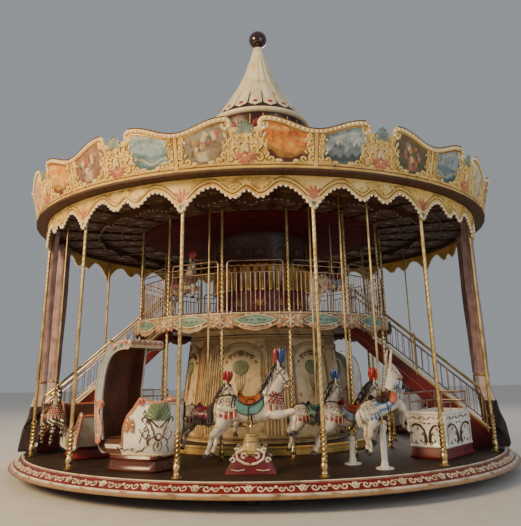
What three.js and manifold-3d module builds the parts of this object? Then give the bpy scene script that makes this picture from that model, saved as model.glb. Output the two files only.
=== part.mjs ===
// A double-deck fairground carousel, in millimetres, +Z up, the ground at z = 0.
// The axis of rotation is the Z axis and the front faces -Y. Angles are in degrees
// from the front (-Y) towards +X, so a bay's centre is a whole number of bays.
import * as THREE from "three";
import { mergeVertices } from "three/addons/utils/BufferGeometryUtils.js";
import Module from "manifold-3d";

const wasm = await Module();
wasm.setup();

// Driving dimensions
const BAYS = 14;
const BAY = 360 / BAYS;
const SEGMENTS = BAYS * 4;
const GAP = 0.4;
const RUN = 0.9;
const ROD_SIDES = 8;

const DECK_TOP = 400;
const DECK_THICK = 90;
const DECK_R = 5085;
const SKIRT_TOP_R = 5100;
const SKIRT_LOW_R = 5370;
const SKIRT_LOW_Z = 200;
const SKIRT_THICK = 30;

const MAST_R = 160;
const MAST_TOP = 5400;
const SLEEVE_R = 230;
const BEAM_REACH = 4700;
const BEAM_HEIGHT = 150;
const BEAM_WIDTH = 160;

const PLINTH_R = 2500;
const PLINTH_TOP = 560;
const DRUM_LOW_R = 1900;
const DRUM_HIGH_R = 1700;
const DRUM_WALL = 40;

const GALLERY_R = 3000;
const GALLERY_TOP = 2965;
const GALLERY_THICK = 110;
const GALLERY_POLE_R = 2940;
const FASCIA_R = 3035;
const FASCIA_EASE = 2.6;
const FASCIA_TOP = 3000;
const FASCIA_LOW = 2640;
const FASCIA_HIGH = 2750;
const UPPER_DRUM_R = 1150;

const CEILING_Z = 5080;
const CEILING_THICK = 40;
const OUTER_POLE_R = 4965;
const POLE = 38;
const INNER_POLE = 34;

const VALANCE_R = 5022;
const VALANCE_THICK = 24;
const VALANCE_TIP = 4500;
const VALANCE_ARCH = 4930;
const VALANCE_LOBE = 4720;
const VALANCE_MID = 4850;

const CROWN_LOW_R = 5240;
const CROWN_TOP_R = 5480;
const CROWN_THICK = 45;
const CROWN_LOW = 5785;
const CROWN_PEAK = 5990;
const CROWN_DIP = 5890;

const INNER_VALANCE_R = 3900;
const ROOF_LOW_Z = 5330;
const ROOF_TOP_R = 1290;
const ROOF_TOP_Z = 7400;
const SPIRE_RING_R = 1350;
const SPIRE_RING_Z = 8070;
const SPIRE_TIP_Z = 10540;
const BALL_Z = 10775;
const BALL_R = 250;

const RAIL_TOP = 4050;
const RAIL_R = 15;

const STAIR_ANGLE = 3 * BAY;
const STAIR_FOOT = 4860;
const STAIR_WIDTH = 780;
const STEPS = 12;
const STEP_RISE = (GALLERY_TOP - DECK_TOP) / STEPS;
const STEP_GO = 246;
const STAIRWELL = { inner: 1890, half: 440 };

const CURTAIN_R = 4880;
const CURTAIN_ASIDE = 3.75;

const SLEIGH_ANGLE = -56;
const SLEIGH_R = 4000;
const GONDOLA_ANGLE = 53;
const GONDOLA_R = 4250;

const HORSE_TRAVEL = 90;
const SADDLE_HEIGHT = 1080;
const ROD = 20;

// Looks of the pieces
const look = (color, roughness = 0.6, metalness = 0) =>
  new THREE.MeshStandardMaterial({ color, roughness, metalness });
const LOOKS = {
  steel: look(0x3b3a38, 0.6, 0.8),
  boards: look(0x3b2212, 0.7),
  skirt: look(0x7a1d1b, 0.5),
  cream: look(0xd9c79c, 0.6),
  gold: look(0xe5c67e, 0.45),
  brass: look(0xb8964e, 0.3, 1),
  brown: look(0x4a2a16, 0.7),
  maroon: look(0x3a1414, 0.5),
  red: look(0x8c1b17, 0.5),
  rail: look(0xb5a892, 0.35, 0.9),
  tilt: look(0x54423a, 0.8),
  white: look(0xf1ead9, 0.45),
  cloth: look(0x8f7f86, 0.9),
  ball: look(0x2b1210, 0.2),
};

const carousel = new THREE.Group();

const toRadians = THREE.MathUtils.degToRad;

// A point at a radius and an angle from the front
function polar(radius, angle, z) {
  const a = toRadians(angle);
  return new THREE.Vector3(radius * Math.sin(a), -radius * Math.cos(a), z);
}

// A closed body gets its faces pointing out
function faceOutwards(geometry) {
  const at = geometry.attributes.position;
  const index = geometry.index.array;
  const [a, b, c] = [new THREE.Vector3(), new THREE.Vector3(), new THREE.Vector3()];
  let volume = 0;
  for (let i = 0; i < index.length; i += 3) {
    a.fromBufferAttribute(at, index[i]);
    b.fromBufferAttribute(at, index[i + 1]);
    c.fromBufferAttribute(at, index[i + 2]);
    volume += a.dot(b.cross(c));
  }
  if (volume < 0) {
    for (let i = 0; i < index.length; i += 3) {
      [index[i], index[i + 1]] = [index[i + 1], index[i]];
    }
  }
  return geometry;
}

// Joins like points, so that neighbouring faces share their corners
function welded(geometry) {
  const bare = geometry.clone();
  bare.deleteAttribute("normal");
  bare.deleteAttribute("uv");
  return mergeVertices(bare, 0.01);
}

// A body through a row of sections with the same number of points, open or in a ring
function loft(sections, ring = false) {
  const count = sections[0].length;
  const positions = sections.flat().flatMap((p) => [p.x, p.y, p.z]);
  const index = [];
  const rows = ring ? sections.length : sections.length - 1;
  for (let row = 0; row < rows; row += 1) {
    const next = (row + 1) % sections.length;
    for (let i = 0; i < count; i += 1) {
      const j = (i + 1) % count;
      const [a, b] = [row * count + i, row * count + j];
      const [c, d] = [next * count + j, next * count + i];
      index.push(a, b, c, a, c, d);
    }
  }
  if (!ring) {
    const last = (sections.length - 1) * count;
    for (let i = 1; i < count - 1; i += 1) {
      index.push(0, i + 1, i);
      index.push(last, last + i, last + i + 1);
    }
  }
  const geometry = new THREE.BufferGeometry();
  geometry.setAttribute("position", new THREE.Float32BufferAttribute(positions, 3));
  geometry.setIndex(index);
  return faceOutwards(geometry);
}

// A band round the axis: each angle gives its inner and outer points, low to high
function band(angles, section, ring = false) {
  return loft(angles.map((angle) => section(angle).map(([r, z]) => polar(r, angle, z))), ring);
}

function range(from, to, steps) {
  return Array.from({ length: steps + 1 }, (_, i) => from + ((to - from) * i) / steps);
}


// A turned body round Z from [radius, z] pairs that start and end on the axis or close
function turned(profile, segments = SEGMENTS) {
  const points = profile.map(([r, z]) => new THREE.Vector2(r, z));
  const geometry = new THREE.LatheGeometry(points, segments);
  geometry.rotateX(Math.PI / 2);
  return faceOutwards(welded(geometry));
}

function ringOf(inner, outer, low, high, segments = SEGMENTS) {
  return turned([[inner, low], [outer, low], [outer, high], [inner, high], [inner, low]], segments);
}

function rodBetween(from, to, radius, sides = 8, endRadius = radius) {
  const way = new THREE.Vector3().subVectors(to, from);
  const geometry = new THREE.CylinderGeometry(endRadius, radius, way.length(), sides);
  const up = new THREE.Vector3(0, 1, 0);
  geometry.applyQuaternion(new THREE.Quaternion().setFromUnitVectors(up, way.clone().normalize()));
  geometry.translate(...new THREE.Vector3().addVectors(from, to).multiplyScalar(0.5).toArray());
  return geometry;
}

// A tube through the points of a path that lies in a plane, mitred where it bends
function tubeThrough(points, radii, sides, normal) {
  const ways = points.slice(1).map((p, i) => p.clone().sub(points[i]).normalize());
  const sections = points.map((p, i) => {
    const [before, after] = [ways[Math.max(i - 1, 0)], ways[Math.min(i, ways.length - 1)]];
    const along = before.clone().add(after).normalize();
    const across = along.clone().cross(normal).multiplyScalar(1 / Math.max(along.dot(after), 0.5));
    const radius = Array.isArray(radii) ? radii[i] : radii;
    return range(0, 360, sides).slice(0, -1).map((a) => {
      const t = toRadians(a + 180 / sides);
      const [u, v] = [radius * Math.cos(t), radius * Math.sin(t)];
      return p.clone().addScaledVector(across, u).addScaledVector(normal, v);
    });
  });
  return loft(sections);
}

// A round rod or bore that stands on the frame's own axis
function uprightRod(low, high, radius) {
  return rodBetween(new THREE.Vector3(0, 0, low), new THREE.Vector3(0, 0, high), radius, ROD_SIDES);
}

function box(x0, x1, y0, y1, z0, z1) {
  const geometry = new THREE.BoxGeometry(x1 - x0, y1 - y0, z1 - z0);
  return geometry.translate((x0 + x1) / 2, (y0 + y1) / 2, (z0 + z1) / 2);
}

// A plate in the XZ plane, from its outline, with its thickness along Y about zero
function plate(outline, thick) {
  const shape = new THREE.Shape(outline.map(([x, z]) => new THREE.Vector2(x, z)));
  const geometry = new THREE.ExtrudeGeometry(shape, { depth: thick, bevelEnabled: false });
  geometry.rotateX(Math.PI / 2);
  return geometry.translate(0, thick / 2, 0);
}

// Turns what is made at the front (towards -Y) round to an angle
function turnedTo(geometry, angle) {
  return geometry.clone().rotateZ(toRadians(angle));
}

// Seats what was made about the origin at a radius and an angle, its +X along the travel
function seated(geometry, angle, radius) {
  return geometry.clone().translate(0, -radius, 0).rotateZ(toRadians(angle));
}

function toSolid(geometry) {
  const closed = welded(geometry);
  const vertProperties = new Float32Array(closed.attributes.position.array);
  const triVerts = new Uint32Array(closed.index.array);
  return new wasm.Manifold(new wasm.Mesh({ numProp: 3, vertProperties, triVerts }));
}

function fromSolid(solid) {
  const mesh = solid.getMesh();
  const geometry = new THREE.BufferGeometry();
  geometry.setAttribute("position", new THREE.BufferAttribute(mesh.vertProperties, 3));
  geometry.setIndex(new THREE.BufferAttribute(mesh.triVerts, 1));
  return geometry;
}

function joined(geometries) {
  return fromSolid(geometries.map(toSolid).reduce((all, next) => all.add(next)));
}

function cutBy(geometry, tools) {
  return fromSolid(tools.map(toSolid).reduce((left, tool) => left.subtract(tool), toSolid(geometry)));
}

function addPiece(name, geometry, material) {
  const flat = geometry.clone();
  flat.computeVertexNormals();
  const mesh = new THREE.Mesh(flat, material);
  mesh.name = name;
  carousel.add(mesh);
}

// Straight steps between [u, value] knots, with u from 0 at a bay's centre to 0.5 at a pole
function bayProfile(knots) {
  return (angle) => {
    const turns = angle / BAY;
    const u = Math.abs(turns - Math.round(turns));
    const after = knots.findIndex(([at]) => at >= u - 1e-9);
    const [u1, v1] = knots[Math.max(after, 1)];
    const [u0, v0] = knots[Math.max(after, 1) - 1];
    return v0 + ((v1 - v0) * (u - u0)) / (u1 - u0);
  };
}

function bayAngles(stops, bays = BAYS) {
  const all = [];
  for (let bay = 0; bay < bays; bay += 1) {
    stops.forEach((u) => all.push((bay + u) * BAY));
  }
  return all;
}

const poleAngles = Array.from({ length: BAYS }, (_, i) => (i + 0.5) * BAY);

// figures that ride up and down stand at these places
const RIDES = [
  { name: "horse_front", angle: -0.2, radius: 4330, kind: "stand" },
  { name: "horse_rear", angle: 179.8, radius: 4330, kind: "stand" },
  { name: "horse_right", angle: 24.6, radius: 3950, kind: "post", size: 0.92, rise: 886, pitch: -8 },
  { name: "donkey_right", angle: 27, radius: 4620, kind: "post", size: 0.8, rise: 1070, pitch: 20, ears: true },
  { name: "horse_far_right", angle: -155.4, radius: 3950, kind: "post", size: 0.92, rise: 886, pitch: -8 },
  { name: "donkey_far_right", angle: -153, radius: 4620, kind: "post", size: 0.8, rise: 1070, pitch: 20, ears: true },
  { name: "horse_inner_right", angle: 19.5, radius: 3280, kind: "pole", size: 0.82 },
  { name: "horse_inner_left", angle: -15.5, radius: 3280, kind: "pole", size: 0.82 },
  { name: "zebra_left", angle: -58.5, radius: 4680, kind: "pole", size: 0.8 },
  { name: "zebra_far_left", angle: 121.5, radius: 4680, kind: "pole", size: 0.8 },
  { name: "horse_gallery_left", angle: -47, radius: 2300, kind: "pole", size: 0.8, floor: GALLERY_TOP },
  { name: "horse_gallery_right", angle: 44, radius: 2300, kind: "pole", size: 0.8, floor: GALLERY_TOP },
];

// base: beams on the ground and the standing mast, whose shoulder carries the floor
const deckLow = DECK_TOP - DECK_THICK;
const beams = [turned([[0, 0], [420, 0], [420, BEAM_HEIGHT], [0, BEAM_HEIGHT]], 28)];
for (let i = 0; i < 7; i += 1) {
  const beam = box(-BEAM_WIDTH / 2, BEAM_WIDTH / 2, -BEAM_REACH, -100, 0, BEAM_HEIGHT);
  beams.push(turnedTo(beam, i * 2 * BAY));
}
addPiece("ground_frame", joined(beams), LOOKS.steel);
addPiece(
  "centre_mast",
  turned([
    [0, BEAM_HEIGHT + GAP], [300, BEAM_HEIGHT + GAP], [300, deckLow - RUN], [MAST_R, deckLow - RUN],
    [MAST_R, MAST_TOP], [0, MAST_TOP],
  ], 16),
  LOOKS.steel,
);

// lower floor
addPiece("platform_deck", ringOf(SLEEVE_R, DECK_R, DECK_TOP - DECK_THICK, DECK_TOP), LOOKS.boards);
addPiece(
  "platform_skirt",
  turned([
    [DECK_R + GAP, DECK_TOP - 8], [DECK_R + GAP, DECK_TOP - 60],
    [SKIRT_LOW_R - SKIRT_THICK, SKIRT_LOW_Z], [SKIRT_LOW_R, SKIRT_LOW_Z],
    [SKIRT_TOP_R + 16, DECK_TOP], [SKIRT_TOP_R, DECK_TOP],
    [DECK_R + GAP, DECK_TOP - 8],
  ]),
  LOOKS.skirt,
);

// lower drum on its ring step, hollow round the mast
addPiece(
  "drum_plinth",
  ringOf(DRUM_LOW_R + 20, PLINTH_R, DECK_TOP + GAP, PLINTH_TOP, 28),
  LOOKS.boards,
);
const drumTop = GALLERY_TOP - GALLERY_THICK - GAP;
addPiece(
  "lower_drum",
  turned([
    [DRUM_LOW_R - DRUM_WALL, DECK_TOP + GAP], [DRUM_LOW_R, DECK_TOP + GAP],
    [DRUM_LOW_R, DECK_TOP + 500], [DRUM_HIGH_R, drumTop - 300], [DRUM_HIGH_R, drumTop],
    [DRUM_HIGH_R - DRUM_WALL, drumTop], [DRUM_HIGH_R - DRUM_WALL, drumTop - 300],
    [DRUM_LOW_R - DRUM_WALL, DECK_TOP + 500], [DRUM_LOW_R - DRUM_WALL, DECK_TOP + GAP],
  ], 28),
  LOOKS.cream,
);

// gallery floor with its two stairwells
const stairwells = [-STAIR_ANGLE, STAIR_ANGLE].map((angle) => {
  const { inner, half } = STAIRWELL;
  const well = box(-half, half, -GALLERY_R - 200, -inner, GALLERY_TOP - 400, GALLERY_TOP + 400);
  return turnedTo(well, angle);
});
const galleryDisc = ringOf(SLEEVE_R, GALLERY_R, GALLERY_TOP - GALLERY_THICK, GALLERY_TOP);
addPiece("upper_deck", cutBy(galleryDisc, stairwells), LOOKS.red);

const fasciaLow = bayProfile([[0, FASCIA_LOW], [0.12, 2665], [0.3, FASCIA_HIGH], [0.42, 2735], [0.5, 2690]]);
const fasciaStops = [0, 0.12, 0.3, 0.42, 0.5, 0.58, 0.7, 0.88];
const fasciaRing = band(bayAngles(fasciaStops), (angle) => [
  [GALLERY_R + FASCIA_EASE, fasciaLow(angle)], [FASCIA_R, fasciaLow(angle)],
  [FASCIA_R, FASCIA_TOP], [GALLERY_R + FASCIA_EASE, FASCIA_TOP],
], true);
addPiece("upper_fascia_front", cutBy(fasciaRing, [...stairwells, fasciaHalf(1)]), LOOKS.cream);
addPiece("upper_fascia_back", cutBy(fasciaRing, [...stairwells, fasciaHalf(-1)]), LOOKS.cream);

// The stairwells part the fascia in a front and a back piece; this covers the other one
function fasciaHalf(side) {
  const reach = GALLERY_R + 300;
  const line = -GALLERY_R * Math.cos(toRadians(STAIR_ANGLE));
  const [y0, y1] = side > 0 ? [line, reach] : [-reach, line];
  return box(-reach, reach, y0, y1, 2000, 4000);
}

addPiece(
  "upper_drum",
  turned([
    [UPPER_DRUM_R - DRUM_WALL, GALLERY_TOP + GAP], [UPPER_DRUM_R, GALLERY_TOP + GAP],
    [UPPER_DRUM_R, CEILING_Z - GAP], [UPPER_DRUM_R - DRUM_WALL, CEILING_Z - GAP],
    [UPPER_DRUM_R - DRUM_WALL, GALLERY_TOP + GAP],
  ], 28),
  LOOKS.cream,
);

// poles: each set with the ring beam that ties it
function poleSet(radius, thick, low, high, angles) {
  return angles.map((a) => rodBetween(polar(radius, a, low), polar(radius, a, high), thick, 8));
}
const outerBeam = ringOf(OUTER_POLE_R - 40, OUTER_POLE_R + 25, CEILING_Z - 100, CEILING_Z - GAP, 28);
addPiece(
  "outer_poles",
  joined([outerBeam, ...poleSet(OUTER_POLE_R, POLE, DECK_TOP + GAP, CEILING_Z - 50, poleAngles)]),
  LOOKS.brass,
);
const galleryBottom = GALLERY_TOP - GALLERY_THICK;
const lowBeam = cutBy(
  ringOf(GALLERY_POLE_R - 45, GALLERY_POLE_R + 45, galleryBottom - 80, galleryBottom - GAP, 28),
  stairwells,
);
const beamParts = toSolid(lowBeam).decompose();
const lowPoles = poleSet(GALLERY_POLE_R, INNER_POLE, DECK_TOP + GAP, galleryBottom - 40, poleAngles);
["front", "back"].forEach((side, i) => {
  const sign = i === 0 ? -1 : 1;
  const line = -GALLERY_POLE_R * Math.cos(toRadians(STAIR_ANGLE));
  const poles = lowPoles.filter((_, k) => {
    const y = polar(GALLERY_POLE_R, poleAngles[k], 0).y;
    return sign < 0 ? y < line : y >= line;
  });
  const beam = beamParts.map(fromSolid).find((part) => {
    part.computeBoundingBox();
    return sign < 0 ? part.boundingBox.min.y < -2000 : part.boundingBox.max.y > 2000;
  });
  addPiece(`inner_poles_${side}`, joined([beam, ...poles]), LOOKS.brass);
});

// gallery railing: a framed panel in each bay, held by the gallery poles
function railingPanel(bay) {
  const at = (u, z) => {
    const [left, right] = [-0.5, 0.5].map((end) => polar(GALLERY_POLE_R, (bay + end) * BAY, z));
    return left.lerp(right, u + 0.5);
  };
  const edge = 0.42;
  const corner = 0.05;
  const hoop = [
    at(-edge, GALLERY_TOP + 5), at(-edge, RAIL_TOP - 65), at(corner - edge, RAIL_TOP),
    at(edge - corner, RAIL_TOP), at(edge, RAIL_TOP - 65), at(edge, GALLERY_TOP + 5),
  ];
  return [
    tubeThrough(hoop, RAIL_R, 4, polar(1, bay * BAY, 0)),
    rodBetween(at(-0.5, RAIL_TOP - 230), at(0.5, RAIL_TOP - 230), RAIL_R - 3, 4),
    rodBetween(at(-0.5, GALLERY_TOP + 70), at(0.5, GALLERY_TOP + 70), RAIL_R - 3, 4),
  ];
}
const railPoles = (angles) =>
  poleSet(GALLERY_POLE_R, INNER_POLE, GALLERY_TOP + GAP, CEILING_Z - GAP, angles);
const frontBays = [-2, -1, 0, 1, 2];
const backBays = [4, 5, 6, 7, 8, 9, 10];
[["front", frontBays], ["back", backBays]].forEach(([side, bays]) => {
  const angles = [...bays.map((bay) => (bay - 0.5) * BAY), (bays.at(-1) + 0.5) * BAY];
  addPiece(`railing_${side}`, joined([...railPoles(angles), ...bays.flatMap(railingPanel)]), LOOKS.rail);
});

// ceiling with the holes that the riding poles run in
const hungRides = RIDES.filter((ride) => ride.kind !== "stand");
const rodHoles = hungRides.map(({ angle, radius }) =>
  seated(uprightRod(CEILING_Z - 300, CEILING_Z + 300, ROD + RUN), angle, radius));
const ceilingTop = CEILING_Z + CEILING_THICK;
const ceilingDisc = ringOf(SLEEVE_R, CROWN_LOW_R + 50, CEILING_Z, ceilingTop);
addPiece("ceiling", cutBy(ceilingDisc, rodHoles), LOOKS.brown);
const innerLow = bayProfile([[0, 4940], [0.5, 4880]]);
addPiece(
  "inner_valance",
  band(bayAngles([0, 0.5]), (angle) => [
    [INNER_VALANCE_R, innerLow(angle)], [INNER_VALANCE_R + 20, innerLow(angle)],
    [INNER_VALANCE_R + 20, CEILING_Z - GAP], [INNER_VALANCE_R, CEILING_Z - GAP],
  ], true),
  LOOKS.gold,
);

// scalloped fringe between the poles, and the leaning painted boards above it
const valanceLow = bayProfile([
  [0, VALANCE_MID], [0.1, VALANCE_LOBE], [0.18, 4860], [0.26, VALANCE_ARCH], [0.4, 4780],
  [0.5, VALANCE_TIP],
]);
const valanceStops = [0, 0.1, 0.18, 0.26, 0.4, 0.5, 0.6, 0.74, 0.82, 0.9];
addPiece(
  "outer_valance",
  band(bayAngles(valanceStops), (angle) => [
    [VALANCE_R, valanceLow(angle)], [VALANCE_R + VALANCE_THICK, valanceLow(angle)],
    [VALANCE_R + VALANCE_THICK, CEILING_Z - GAP], [VALANCE_R, CEILING_Z - GAP],
  ], true),
  LOOKS.gold,
);
const crownHigh = bayProfile([
  [0, CROWN_DIP], [0.07, CROWN_DIP + 20], [0.13, CROWN_PEAK], [0.25, 5940], [0.5, CROWN_LOW],
]);
const crownStops = [0, 0.07, 0.13, 0.25, 0.5, 0.75, 0.87, 0.93];
const crownRadius = (z) =>
  CROWN_LOW_R + ((CROWN_TOP_R - CROWN_LOW_R) * (z - CEILING_Z)) / (CROWN_PEAK - CEILING_Z);
addPiece(
  "crown_boards",
  band(bayAngles(crownStops), (angle) => {
    const top = crownHigh(angle);
    return [
      [CROWN_LOW_R, ceilingTop + GAP], [CROWN_LOW_R + CROWN_THICK, ceilingTop + GAP],
      [crownRadius(top) + CROWN_THICK / 2, top], [crownRadius(top) - CROWN_THICK / 2, top],
    ];
  }, true),
  LOOKS.gold,
);

// tilt and spire
addPiece(
  "roof_cone",
  turned([
    [CROWN_LOW_R - 40, ceilingTop + GAP], [CROWN_LOW_R - 8, ceilingTop + GAP],
    [CROWN_LOW_R - 8, ROOF_LOW_Z], [ROOF_TOP_R, ROOF_TOP_Z], [ROOF_TOP_R - 130, ROOF_TOP_Z],
    [ROOF_TOP_R - 130, ROOF_TOP_Z - 25], [CROWN_LOW_R - 40, ROOF_LOW_Z - 40],
    [CROWN_LOW_R - 40, ceilingTop + GAP],
  ], 28),
  LOOKS.tilt,
);
addPiece(
  "spire_base",
  turned([
    [0, ROOF_TOP_Z + GAP], [1240, ROOF_TOP_Z + GAP], [1240, SPIRE_RING_Z - 60],
    [SPIRE_RING_R, SPIRE_RING_Z], [SPIRE_RING_R, SPIRE_RING_Z + 60],
    [1240, SPIRE_RING_Z + 100], [0, SPIRE_RING_Z + 100],
  ], 20),
  LOOKS.maroon,
);
addPiece(
  "spire_cone",
  turned([
    [0, SPIRE_RING_Z + 100 + GAP], [1200, SPIRE_RING_Z + 100 + GAP], [1000, 8480], [780, 8830],
    [560, 9200], [360, 9640], [200, 10100], [75, SPIRE_TIP_Z], [0, SPIRE_TIP_Z],
  ], 20),
  LOOKS.maroon,
);
addPiece(
  "spire_ball",
  turned([
    [0, SPIRE_TIP_Z + GAP], [60, SPIRE_TIP_Z + GAP], [150, BALL_Z - 200], [235, BALL_Z - 85],
    [BALL_R, BALL_Z], [215, BALL_Z + 128], [120, BALL_Z + 220], [0, BALL_Z + BALL_R],
  ], 20),
  LOOKS.ball,
);

// straight flights with their stringers and handrails
function stair() {
  const half = STAIR_WIDTH / 2;
  const pieces = [];
  const foot = STAIR_FOOT;
  const slope = STEP_RISE / STEP_GO;
  const topY = -foot + STEP_GO * (STEPS - 1);
  for (let i = 0; i < STEPS - 1; i += 1) {
    const y = -foot + i * STEP_GO;
    const z = DECK_TOP + (i + 1) * STEP_RISE;
    pieces.push(box(-half, half, y, y + STEP_GO + 25, z - 35, z));
  }
  const side = (z, y) => [y, z];
  const stringer = [
    side(DECK_TOP + GAP, -foot), side(DECK_TOP + GAP, -foot + 330),
    side(GALLERY_TOP - 330, topY), side(GALLERY_TOP - 10, topY),
    side(DECK_TOP + 320, -foot + 20),
  ];
  [-1, 1].forEach((sign) => {
    const geometry = plate(stringer, 30).rotateZ(Math.PI / 2);
    pieces.push(geometry.translate(sign * (half + 10), 0, 0));
    const x = sign * (half + 10);
    const railAt = (y, up) => new THREE.Vector3(x, y, DECK_TOP + 200 + (y + foot) * slope + up);
    [820, 500].forEach((up) => {
      pieces.push(rodBetween(railAt(-foot + 60, up), railAt(topY - 60, up), 17, 4));
    });
    [60, 1220, 2400].forEach((along) => {
      pieces.push(rodBetween(railAt(-foot + along, -120), railAt(-foot + along, 820), 15, 4));
    });
  });
  return joined(pieces);
}
const flight = stair();
addPiece("stair_left", turnedTo(flight, -STAIR_ANGLE), LOOKS.red);
addPiece("stair_right", turnedTo(flight, STAIR_ANGLE), LOOKS.red);

// hooded carriage: a hood behind and over a bench, open on its outer side, and a bow in front (+X)
function hoodedCarriage() {
  const width = 840;
  const wall = 40;
  const floor = DECK_TOP + GAP;
  const base = box(-600, 540, -390, 390, floor, floor + 230);
  const outer = [
    [-600, 620], [-700, 900], [-760, 1250], [-770, 1650], [-720, 2020], [-590, 2300], [-400, 2430],
  ];
  const hood = plate([
    ...outer, [-150, 2470], [60, 2400], [40, 2290], [-150, 2370], [-370, 2340], [-520, 2220],
    [-640, 1990], [-690, 1650], [-680, 1250], [-560, 950], [-440, 620],
  ], width);
  const farWall = plate([
    ...outer, [-330, 2420], [-400, 2000], [-440, 1600], [-330, 1250], [-100, 1180], [-100, 680],
    [-300, 620],
  ], wall).translate(0, (width - wall) / 2, 0);
  const plan = [
    [-600, -400], [150, -420], [460, -370], [650, -210], [700, 0], [650, 210], [460, 370], [150, 420],
    [-600, 400],
  ];
  const bowl = (inset, levels) => loft(levels.map(([z, size]) => plan.map(([x, y]) =>
    new THREE.Vector3(x * size - Math.sign(x) * inset, y * size - Math.sign(y) * inset, z))));
  const tub = bowl(0, [[620, 0.78], [800, 0.93], [1000, 0.99], [1520, 1]]);
  const room = bowl(wall, [[680, 0.82], [800, 0.93], [1000, 0.99], [1600, 1]]);
  const above = plate([
    [-700, 800], [-160, 800], [-110, 1190], [240, 1500], [500, 1440], [800, 1470], [800, 1700],
    [-700, 1700],
  ], width + 100);
  const bench = box(-640, -200, -380, 390, 640, 900);
  return joined([base, hood, farWall, cutBy(tub, [room, above]), bench]);
}

// gondola: a bench box with a tube rail on top
function gondola() {
  const halfLength = 580;
  const halfWidth = 340;
  const floor = DECK_TOP + GAP;
  const plinth = box(-halfLength - 30, halfLength + 30, -halfWidth - 25, halfWidth + 25, floor, floor + 180);
  const sides = box(-halfLength, halfLength, -halfWidth, halfWidth, floor + 170, 1180);
  const well = box(60 - halfLength, halfLength - 60, 60 - halfWidth, halfWidth - 60, floor + 260, 1400);
  const shell = cutBy(sides, [well]);
  const benches = [-1, 1].map((side) => {
    const ends = [side * (halfLength - 50), side * 280].sort((a, b) => a - b);
    return box(...ends, 40 - halfWidth, halfWidth - 40, floor + 200, 900);
  });
  const postX = halfLength - 30;
  const postY = halfWidth - 30;
  const corners = [[-postX, -postY], [postX, -postY], [postX, postY], [-postX, postY]];
  const rails = corners.flatMap(([x, y], i) => {
    const [nx, ny] = corners[(i + 1) % 4];
    const post = rodBetween(new THREE.Vector3(x, y, 1170), new THREE.Vector3(x, y, 1500), 16, 6);
    if (i === 3) {
      return [post];
    }
    const tops = [1330, 1490].map((z) =>
      rodBetween(new THREE.Vector3(x, y, z), new THREE.Vector3(nx, ny, z), 14, 6));
    return [post, ...tops];
  });
  return joined([plinth, shell, ...benches, ...rails]);
}

// An open sleigh: a bench between two sides that sweep up to a prow (+X) and a back rest
function sleigh() {
  const width = 840;
  const floor = DECK_TOP + GAP;
  const foot = box(-520, 420, -width / 2 + 60, width / 2 - 60, floor, floor + 160);
  const outline = [
    [-560, floor + 150], [460, floor + 150], [640, 820], [860, 1180], [760, 1230], [560, 1040],
    [380, 900], [-120, 880], [-420, 1000], [-600, 1320], [-740, 1380], [-770, 1240], [-660, 860],
  ];
  const inside = [
    [-480, 660], [400, 660], [560, 900], [820, 1400], [-600, 1500], [-610, 1240], [-540, 900],
  ];
  const shell = cutBy(plate(outline, width), [plate(inside, width - 110)]);
  const bench = box(-540, -120, -width / 2 + 40, width / 2 - 40, 640, 850);
  return joined([foot, shell, bench]);
}

const hood = hoodedCarriage();
addPiece("hooded_carriage_front", seated(hood, -BAY, 4250), LOOKS.cream);
addPiece("hooded_carriage_rear", seated(hood, 6 * BAY, 4250), LOOKS.cream);
const boat = gondola();
addPiece("gondola_right", seated(boat, GONDOLA_ANGLE, GONDOLA_R), LOOKS.cream);
addPiece("gondola_left", seated(boat, GONDOLA_ANGLE - 180, GONDOLA_R), LOOKS.cream);
const sledge = sleigh();
addPiece("sleigh_left", seated(sledge, SLEIGH_ANGLE, SLEIGH_R), LOOKS.cream);
addPiece("sleigh_right", seated(sledge, SLEIGH_ANGLE + 180, SLEIGH_R), LOOKS.cream);

// A horse about the origin of its saddle, facing +X, fused from simple bodies
function horse({ ears = false, size, pitch }) {
  const aside = new THREE.Vector3(0, 1, 0);
  const limb = (points, radii) =>
    tubeThrough(points.map((p) => new THREE.Vector3(...p)), radii, 4, aside);
  const oval = ([x, z, half, tall]) => range(0, 360, 6).slice(0, -1).map((a) => {
    const t = toRadians(a);
    return new THREE.Vector3(x, half * Math.cos(t), z + tall * Math.sin(t));
  });
  const trunk = [
    [-560, -150, 60, 80], [-440, -130, 165, 185], [-40, -170, 170, 190], [280, -130, 150, 205],
    [420, -80, 80, 130],
  ];
  const tapered = ([x0, z0, r0], [x1, z1, r1], flat) =>
    rodBetween(new THREE.Vector3(x0, 0, z0), new THREE.Vector3(x1, 0, z1), r0, 6, r1).scale(1, flat, 1);
  const pieces = [
    loft(trunk.map(oval)),
    tapered([230, -100, 240], [480, 420, 110], 0.5),
    tapered([440, 430, 125], [650, 145, 60], 0.65),
    limb([[-480, 0, -60], [-620, 0, -100], [-650, 0, -330]], [56, 46, 30]),
    ...[105, -105].map((y) =>
      limb([[-380, y, -160], [-500, y, -400], [-610, y, -530], [-710, y, -850]], [95, 66, 50, 38])),
  ];
  if (ears) {
    [-1, 1].forEach((side) => {
      const [y, tip] = [45 * side, 60 * side];
      pieces.push(
        rodBetween(new THREE.Vector3(450, y, 430), new THREE.Vector3(640, tip, 790), 30, 4),
        limb([[290, 2 * y, -200], [380, 2 * y, -430], [390, 2 * y, -600], [310, 2 * y, -860]], [86, 60, 50, 36]),
      );
    });
  } else {
    pieces.push(
      limb([[300, 90, -200], [500, 95, -215], [700, 95, -190], [675, 95, -490]], [86, 62, 52, 36]),
      limb([[300, -90, -200], [480, -95, -240], [650, -95, -225], [605, -95, -530]], [86, 62, 52, 36]),
    );
  }
  return joined(pieces).scale(size, size, size).rotateY(-toRadians(pitch));
}

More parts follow.
